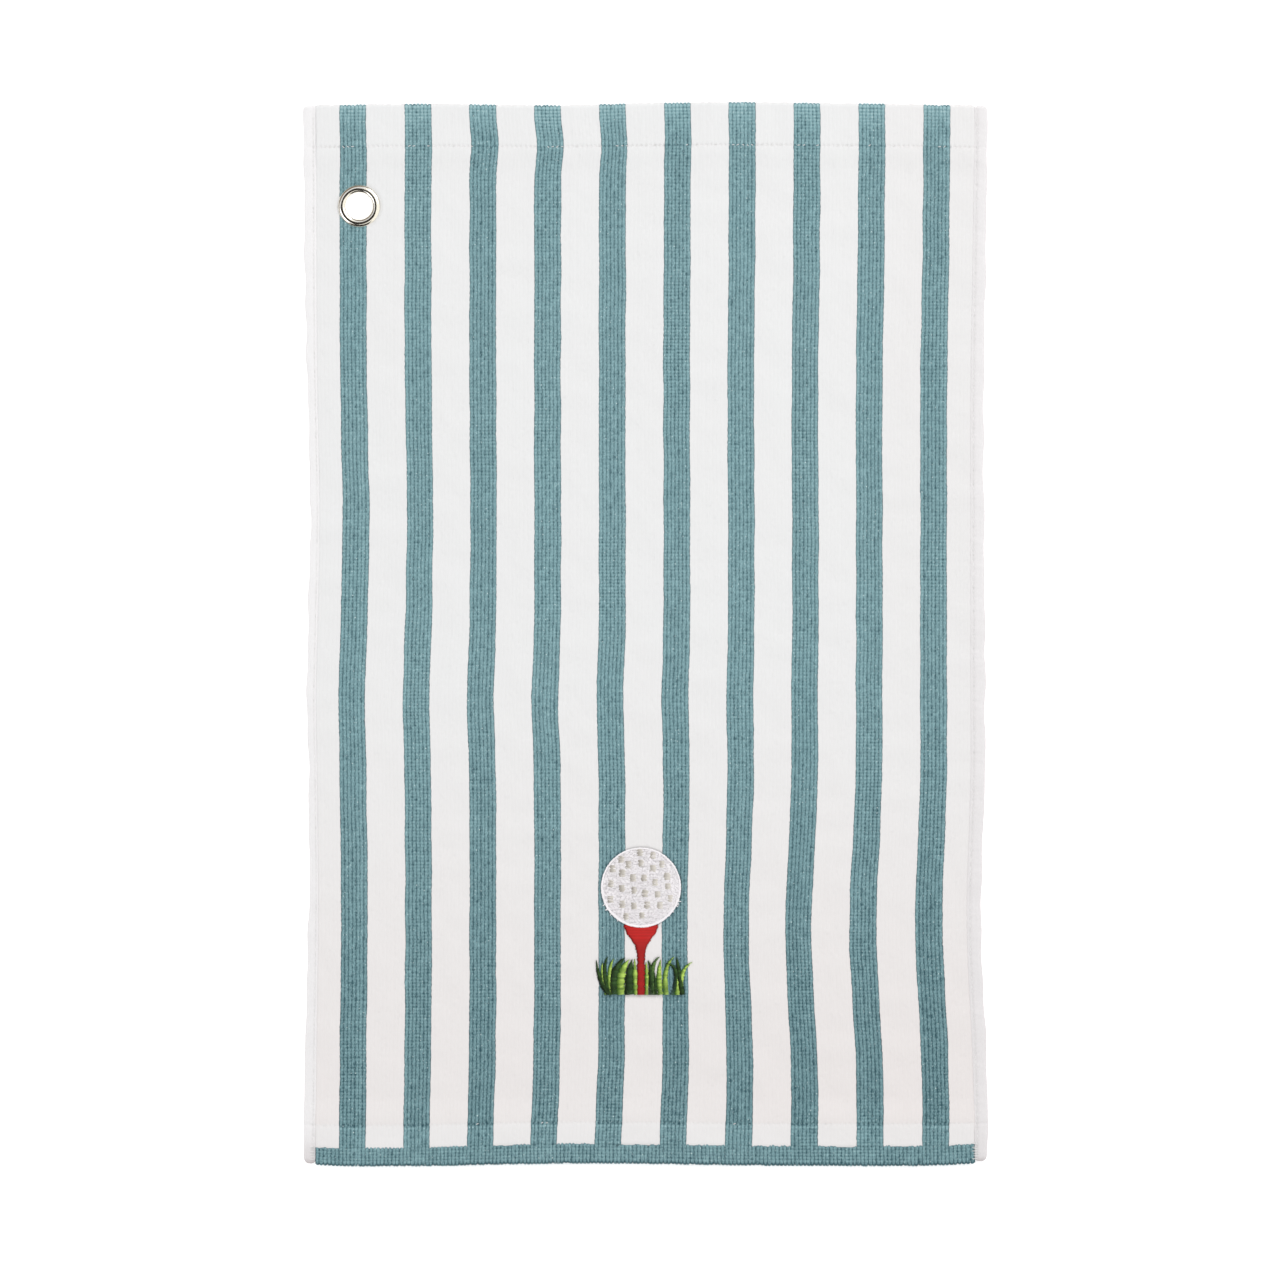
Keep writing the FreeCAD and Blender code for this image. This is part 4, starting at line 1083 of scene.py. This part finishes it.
# Grass blades: thread, root middle, root width, then the middle of the blade (across, up, width)
# and its tip (across, up), all in mm from the foot of the tee.
BLADES = [
    ("dark", -19.4, 3.6, (-24.4, 9.6, 2.7), (-26.6, 20.2)),
    ("light", -20.3, 2.6, (-22.9, 11.0, 2.0), (-23.0, 18.6)),
    ("dark", -18.9, 3.2, (-21.9, 12.6, 2.5), (-20.0, 22.2)),
    ("light", -17.9, 2.6, (-18.8, 12.6, 2.5), (-16.4, 21.2)),
    ("dark", -16.2, 5.0, (-15.8, 12.8, 5.0), (-9.8, 21.8)),
    ("light", -12.0, 5.0, (-11.6, 12.4, 5.0), (-7.1, 20.8)),
    ("dark", -6.9, 5.6, (-7.0, 11.4, 4.8), (-5.4, 20.8)),
    ("light", -3.2, 2.6, (-3.6, 11.0, 3.0), (-3.9, 21.0)),
    ("light", 3.2, 2.0, (3.4, 10.8, 2.3), (3.0, 19.2)),
    ("dark", 5.7, 3.4, (6.2, 11.8, 3.4), (4.2, 20.0)),
    ("mid", 7.8, 2.4, (6.9, 15.2, 2.6), (10.9, 22.2)),
    ("dark", 8.6, 2.2, (8.6, 6.5, 1.8), (7.9, 13.0)),
    ("light", 11.6, 3.4, (10.7, 11.4, 3.0), (11.7, 20.6)),
    ("light", 15.0, 3.2, (14.8, 13.6, 2.7), (19.4, 22.2)),
    ("dark", 18.6, 3.0, (20.8, 13.4, 2.6), (14.8, 18.6)),
    ("light", 21.6, 3.2, (21.6, 4.8, 2.4), (21.6, 9.2)),
    ("dark", 24.6, 3.2, (22.9, 11.6, 3.0), (21.2, 22.2)),
    ("light", 24.6, 2.4, (24.6, 12.2, 2.6), (30.2, 19.2)),
]

# The tee: heights over its foot and half its width there, in mm: a shank, a waist and a cup.
TEE_HEIGHTS = [0, 24, 27.3, 29.2, 31.2, 33.2, 35.2, 37.2, 39.1, 42.5]
TEE_HALF_WIDTHS = [2.35, 2.3, 2.9, 3.7, 4.8, 6.2, 7.8, 9.0, 9.9, 10.3]


def tee_half_width(y):
    """Half the tee's width at a place along the towel."""
    return np.interp((y - TEE.y) / MM, TEE_HEIGHTS, TEE_HALF_WIDTHS) * MM


def blade_line(blade, steps):
    """Centre line and width of a blade, in metres from the tee's foot, along a smooth curve."""
    root, root_width, middle, tip = blade[1:]
    t = np.linspace(0, 1, steps)
    lower = (1 - t) * (1 - 2 * t)
    centre = 4 * t * (1 - t)
    upper = t * (2 * t - 1)
    across = (root * lower + middle[0] * centre + tip[0] * upper) * MM
    up = (middle[1] * centre + tip[1] * upper) * MM
    width = np.interp(t, [0, 0.5, 0.8, 1], [root_width, middle[2], 0.62 * middle[2], 0.35]) * MM
    return across, up, width


def pressed_by_blades(x, y):
    """How far the pile is pressed by the tee and the grass, from 0 to 1."""
    press = np.zeros(x.shape)
    spot = (x > TEE.x - 30 * MM) & (x < TEE.x + 34 * MM) & (y > TEE.y - 2 * MM) & (y < BALL.y)
    if not spot.any():
        return press
    px, py = x[spot], y[spot]
    found = smooth((tee_half_width(py) + 0.4 * MM - np.abs(px - TEE.x)) / (0.8 * MM))
    for blade in BLADES:
        for across, up, width in zip(*blade_line(blade, 9)):
            away = np.hypot(px - TEE.x - across, (py - TEE.y - up) * 0.6)
            found = np.maximum(found, smooth((width / 2 + 0.5 * MM - away) / (0.8 * MM)))
    press[spot] = found
    return press


def finish_satin(name, material, satin, shade, width=HALF_THREAD):
    """A piece of satin stitches."""
    finish_piece(strands(name, satin, width, THREAD_HEIGHT, shade), material, name)


def make_tee():
    """Red satin stitch straight across the tee, its cup hollowed to the ball's edge."""
    y = np.arange(TEE.y, BALL.y - 0.5 * BALL_RADIUS, THREAD)
    uneven = 0.32 * MM * random.uniform(-1, 1, len(y))[np.arange(len(y)) // 3]
    half = tee_half_width(y) + uneven
    left = TEE.x - half + scatter(0.16 * MM, len(y))
    right = TEE.x + half + scatter(0.16 * MM, len(y))
    gap = BALL_RADIUS ** 2 - (y - BALL.y) ** 2
    bite = np.sqrt(np.maximum(gap, 0)) * (y > BALL.y - BALL_RADIUS)
    starts, ends, shades = [], [], []
    for i in range(len(y)):
        spans = [(left[i], right[i])]
        if bite[i] > 0:
            spans = [(left[i], BALL.x - bite[i]), (BALL.x + bite[i], right[i])]
        for start, stop in spans:
            if stop - start > 0.5 * MM:
                starts.append((start, y[i]))
                ends.append((stop, y[i] + 0.3 * THREAD))
                shades.append(random.uniform(0.75, 1.0))
    starts, ends = np.array(starts), np.array(ends)
    share = satin_shares(13)
    length = (ends - starts)[:, :1]
    # Painted shade: each stitch darker where it dips at its ends, and the shank's short steep stitches
    # darker than the cup's.
    dark = near(share * length, 0, 0.9 * MM) + 0.6 * near((1 - share) * length, 0, 0.6 * MM)
    deep = 0.66 + 0.34 * smooth((starts[:, 1:] - TEE.y) / MM / 8 - 3.4)
    shade = np.array(shades)[:, None] * deep * (1 - 0.95 * dark)
    satin = satin_lines(starts, ends, FACE_TOP - 0.25 * MM, FACE_TOP + 0.52 * MM, 13)
    finish_satin("tee", RED_RAYON, satin, shade)


def blade_stitches(blade):
    """Where the threads across a blade start and end, and the shade of each one."""
    root, middle, tip = blade[1], blade[3], blade[4]
    length = math.hypot(tip[0] - root, tip[1]) * MM
    across, up, width = blade_line(blade, max(8, int(length / THREAD)))
    along = np.stack([np.gradient(across), np.gradient(up)], axis=1)
    along /= np.linalg.norm(along, axis=1, keepdims=True)
    normal = np.stack([along[:, 1], -along[:, 0]], axis=1)
    normal = 0.75 * normal + 0.25 * np.array([1.0, 0.35])
    centre = np.stack([TEE.x + across, TEE.y + up], axis=1)
    threes = np.arange(len(width)) // 3
    ragged = 1 + scatter(0.10, len(width))
    step = random.uniform(-0.55, 0.55, len(width))[threes] * MM
    ragged = ragged + step / width.clip(1.8 * MM)
    half = (normal * (width * ragged)[:, None]) / 2
    ends = np.stack([centre - half, centre + half])
    ends[..., 1] = np.maximum(ends[..., 1], TEE.y - 0.1 * MM)
    return ends, random.uniform(0.40, 1.0, len(width))[threes]


def make_grass():
    """Satin blades: threads laid across each one, dark blades over mid ones and mid over light."""
    share = satin_shares(9)
    for material, level in ((LIGHT_GREEN, 0.28 * MM), (MID_GREEN, 0.38 * MM), (DARK_GREEN, 0.46 * MM)):
        colour = material.name.split("_")[0]
        blades = [blade_stitches(blade) for blade in BLADES if blade[0] == colour]
        starts, ends = np.concatenate([ends for ends, shade in blades], axis=1)
        shades = np.concatenate([shade for ends, shade in blades])
        # Painted shade: darker toward the roots, and each stitch dark at its left end and lit toward its
        # right.
        painted_root_shade = 0.75 + 0.25 * smooth((starts[:, 1:] - TEE.y) / (8 * MM))
        shade = shades[:, None] * painted_root_shade * (0.04 + 0.96 * smooth(share / 0.75))
        satin = satin_lines(starts, ends, FACE_TOP - 0.3 * MM, FACE_TOP + level, 9)
        finish_satin("grass_" + colour, material, satin, shade)


def make_ball_fill():
    """Short white stitches in rows across the ball, over a flat bed of the same thread."""
    inside = BALL_RADIUS - 0.7 * BORDER
    starts, ends, shades = [], [], []
    for y in np.arange(-inside, inside - 0.4 * MM, THREAD):
        # At the top the rows stop short of the border, so the dark bed shows there as a painted shadow
        # line.
        reach = math.sqrt(inside ** 2 - y ** 2) - 0.40 * MM * (y > 0.2 * inside)
        x = -reach - random.uniform(0, 2.4) * MM
        while x < reach:
            stop = min(x + random.uniform(1.6, 3.2) * MM, reach)
            if stop > -reach:
                starts.append((max(x, -reach), y))
                ends.append((stop, y + random.normal(0, 0.05) * MM))
                shades.append(random.normal(0.88, 0.15))
            x = stop + 0.05 * MM
            if stop >= reach:
                break
    starts, ends = np.array(starts), np.array(ends)
    # Painted light: the stitches are paler toward the right of the ball.
    mottled = 0.15 * waves((starts + ends)[:, 0] / 2, starts[:, 1], 2.2 * MM, seed=71)
    shade = np.clip(np.array(shades) + mottled + 0.10 * smooth(starts[:, 0] / BALL_RADIUS), 0, 1)
    middle = np.array([BALL.x, BALL.y])
    level = FACE_TOP + 0.50 * MM + scatter(0.06 * MM, (len(starts), 1))
    threads = satin_lines(starts + middle, ends + middle, FACE_TOP + 0.18 * MM, level, 5)
    threads = strands("ball_threads", threads, HALF_THREAD, THREAD_HEIGHT, shade)
    bed = disc_bed(inside, FACE_TOP + 0.15 * MM, FACE_TOP - 0.6 * MM)
    finish_piece(joined("ball_fill", [threads, bed]), WHITE_RAYON, "ball_fill")


def disc_bed(radius, top, bottom, rings=6, turns=64):
    """A flat closed disc under the ball's stitches."""
    turn = np.linspace(0, math.tau, turns, endpoint=False)[None, :]
    reach = np.linspace(0.05, 1, rings)[:, None] * radius
    x = BALL.x + reach * np.cos(turn)
    y = BALL.y + reach * np.sin(turn)
    upper, lower = [on_face(x, y, np.full(x.shape, level)).reshape(-1, 3) for level in (top, bottom)]
    index = np.arange(x.size).reshape(x.shape)
    faces = tube_faces(index)
    rim = index[-1]
    walls = np.stack([rim, rim + x.size, np.roll(rim, -1) + x.size, np.roll(rim, -1)], axis=1)
    quads = np.concatenate([faces, faces[:, ::-1] + x.size, walls])
    caps = [index[0], index[0][::-1] + x.size]
    # The bed's low shade is painted shade, seen in the gap under the border's top.
    strand = np.stack([upper[:, 0], upper[:, 1], np.full(x.size, 0.35)], axis=-1)
    values = {"strand": np.concatenate([strand, strand])}
    return new_piece("ball_bed", np.concatenate([upper, lower]), quads, caps, values)


def round_ball(radius, turn):
    """Points at a radius from the ball's middle."""
    return np.stack([BALL.x + radius * np.cos(turn), BALL.y + radius * np.sin(turn)], axis=1)


def make_ball_border():
    """Satin stitch round the ball, threads laid a little askew across the border."""
    count = int(math.tau * BALL_RADIUS / THREAD)
    turn = np.linspace(0, math.tau, count, endpoint=False)
    skew = 0.010
    inner = BALL_RADIUS - BORDER * (1 - 0.15 * np.sin(turn)) + scatter(0.08 * MM, count)
    outer = BALL_RADIUS + scatter(0.10 * MM, count)
    frayed = (random.uniform(0, 1, count) < 0.12) & (np.sin(turn) < -0.2) & (np.abs(np.cos(turn)) > 0.55)
    outer = outer + np.where(frayed, random.uniform(0.6, 1.6, count), 0) * MM
    starts, ends = round_ball(inner, turn - skew), round_ball(outer, turn + skew)
    satin = satin_lines(starts, ends, FACE_TOP + 0.35 * MM, FACE_TOP + 0.75 * MM, 9)
    finish_satin("ball_border", WHITE_RAYON, satin, random.uniform(0.92, 1.0, count), BROAD_THREAD)


def make_dimples():
    """Beige satin squares sunk among the white stitches, with painted shade at the left of each one where
    the thread goes down, and painted light toward the right of each one and toward the right of the ball."""
    starts, ends, shades = [], [], []
    for across, up in DIMPLES:
        size = random.uniform(3.5, 4.1) * MM
        painted_light_to_right = 0.20 * smooth((across + 4) / 22)
        x, y = BALL.x + across * MM, BALL.y + up * MM
        for row in np.arange(-size / 2, size / 2, THREAD):
            corner = 0.9 * MM * (abs(row) / size) ** 2
            starts.append((x - 0.58 * size + corner + random.uniform(0, 0.4) * MM, y + row))
            ends.append((x + 0.64 * size - corner - random.uniform(0, 0.9) * MM, y + row + 0.1 * MM))
            shades.append(random.normal(0.54, 0.09) + painted_light_to_right)
    level = FACE_TOP + 0.62 * MM + scatter(0.08 * MM, (len(starts), 1))
    satin = satin_lines(np.array(starts), np.array(ends), FACE_TOP + 0.25 * MM, level, 9)
    share = satin_shares(9)
    # Painted shade at the left end of each stitch, painted light toward its right end.
    along = 0.04 - 0.30 * near(share, 0.12, 0.22) + 0.32 * smooth(share * 1.4 - 0.4)
    shade = np.clip(np.array(shades)[:, None] + along, 0, 1)
    finish_satin("ball_dimples", BEIGE_RAYON, satin, shade)


def make_backing():
    """Backing felt behind the embroidery, seen from below."""
    step = 0.6 * MM
    x = np.arange(BACK_LOW.x - step, BACK_HIGH.x + step, step)
    y = np.arange(BACK_LOW.y - step, BACK_HIGH.y + step, step)
    u, v = np.meshgrid(x, y)
    bumpy = LOOP - BACKING_THICK + 0.05 * MM * waves(u, v, 6 * MM, seed=61)
    upper, lower = [on_face(u, v, level).reshape(-1, 3) for level in (np.full(u.shape, LOOP), bumpy)]
    faces = grid_faces(*u.shape)
    middle = upper[faces].mean(axis=1)
    faces = faces[under_backing(middle[:, 0], middle[:, 1], 0)]
    finish_piece(closed_sheet("embroidery_backing", upper, lower, faces), BACKING, "embroidery_backing")


def make_bobbin():
    """White bobbin thread behind the ball, the tee and each blade, under the backing."""
    starts, ends = [], []
    inside = BALL_RADIUS - 0.3 * MM
    for y in np.arange(-inside, inside, 0.8 * MM):
        reach = math.sqrt(inside ** 2 - y ** 2)
        marks = np.append(np.arange(-reach, reach - 1 * MM, 3.4 * MM), reach)
        starts += [(BALL.x + a, BALL.y + y) for a in marks[:-1]]
        ends += [(BALL.x + b, BALL.y + y + 0.3 * MM) for b in marks[1:]]
    for y in np.arange(0, (BALL.y - BALL_RADIUS - TEE.y) / MM, 0.8) * MM + TEE.y:
        half = tee_half_width(y)
        starts.append((TEE.x - half, y))
        ends.append((TEE.x + half, y + 0.3 * MM))
    for blade in BLADES:
        across, up, width = blade_line(blade, 26)
        starts += [(TEE.x + a - w / 2, TEE.y + b) for a, b, w in zip(across, up, width)]
        ends += [(TEE.x + a + w / 2, TEE.y + b + 0.2 * MM) for a, b, w in zip(across, up, width)]
    level = LOOP - BACKING_THICK
    lines = satin_lines(np.array(starts), np.array(ends), level, level - 0.22 * MM, 5)
    finish_sewing("bobbin_thread", lines, width=BROAD_THREAD, height=0.15 * MM)


# ------------------------------------------------------------------ the set

FLOOR_HALF = 7.0
FLOOR_LEVEL = -0.05 * MM
CURVE_FROM = 4.8
CURVE_WIDTH = 1.6
CURVE_HEIGHT = 0.9


def make_floor():
    """A wide floor that curves up far behind the towel on every side, so that no edge of it shows."""
    marks = np.linspace(-FLOOR_HALF, FLOOR_HALF, 71)
    x, y = np.meshgrid(marks, marks)
    level = FLOOR_LEVEL + CURVE_HEIGHT * smooth((np.hypot(x, y) - CURVE_FROM) / CURVE_WIDTH)
    floor = grid_object("floor", np.stack([x, y, level], axis=-1))
    floor.data.materials.append(floor_material())


def aimed(thing, place_at, away):
    """Put a light or a card at a place, with its upper side turned away from the towel."""
    thing.location = place_at
    thing.rotation_mode = "QUATERNION"
    thing.rotation_quaternion = Vector(away).to_track_quat("Z", "Y")


def softbox(name, place_at, size, power):
    """A square light that faces the towel."""
    data = bpy.data.lights.new(name, "AREA")
    data.size = size
    data.energy = power
    lamp = bpy.data.objects.new(name, data)
    aimed(lamp, place_at, place_at)
    lamp.visible_camera = False
    SCENE.collection.objects.link(lamp)


def only_reflected(card, tint, glow):
    """Give a card its plain glow, and hide it from everything but reflections."""
    card.data.materials.append(shader(card.name, 1.0, Specular_IOR_Level=0.0, Emission_Color=tint,
                                      Base_Color=(0.01, 0.01, 0.01, 1), Emission_Strength=glow)[0])
    card.visible_camera = False
    card.visible_diffuse = False
    card.visible_shadow = False
    card.visible_transmission = False


def reflected_card(name, from_eyelet, width, height, tint, glow):
    """A card that only shows as a reflection in polished metal; it faces the grommet."""
    card = flat_card(name, width / 2, height / 2)
    aimed(card, EYELET + Vector(from_eyelet), from_eyelet)
    only_reflected(card, tint, glow)


def reflected_ring(name, radius, low, high, tint):
    """Dim walls all round that only show as a reflection in polished metal."""
    turn = np.linspace(0, math.tau, 49)
    level = np.array([low, high])[:, None] + 0 * turn
    walls = np.stack([radius * np.cos(turn) + 0 * level, radius * np.sin(turn) + 0 * level, level], axis=-1)
    only_reflected(grid_object(name, walls), tint, 1.0)


def make_set():
    """Floor, lights and the dark and pale things that the grommet reflects."""
    make_floor()
    softbox("key_light", (1.2, 1.5, 2.0), 1.5, 22)
    softbox("fill_light", (-1.6, -0.6, 2.0), 1.6, 9)
    reflected_card("cream_card", (2.4, -0.9, 3.0), 8.0, 8.0, (1.0, 0.97, 0.88, 1), 1.05)
    reflected_card("brown_flag", (-0.20, -0.16, 1.5), 1.05, 0.95, (0.10, 0.07, 0.04, 1), 0.12)
    reflected_card("black_flag", (0.04, -1.16, 1.0), 1.5, 1.0, (0, 0, 0, 1), 0.0)
    reflected_card("taupe_card", (-0.75, 1.15, 0.95), 2.2, 1.0, (0.22, 0.18, 0.14, 1), 1.0)
    reflected_ring("dark_walls", 5.0, 0.5, 3.2, (0.30, 0.26, 0.21, 1))
    SCENE.world = bpy.data.worlds.new("studio")
    SCENE.world.use_nodes = True
    sky = SCENE.world.node_tree.nodes["Background"].inputs
    sky["Color"].default_value = (1, 1, 1, 1)
    sky["Strength"].default_value = 0.8


# ------------------------------------------------------------------ build

make_set()
ground = make_ground()
make_face()
make_band()
make_back("teal", white_edges())
make_back("white", TEAL_EDGES)
side_hems = [make_side_hem("left_side_hem", -1), make_side_hem("right_side_hem", 1)]
make_hem_thread("top_hem_thread", 1)
make_hem_thread("bottom_hem_thread", -1)
make_side_thread("left_hem_thread", -1)
make_side_thread("right_hem_thread", 1)
make_grommet()
make_ball_fill()
make_ball_border()
make_dimples()
make_tee()
make_grass()
make_backing()
make_bobbin()
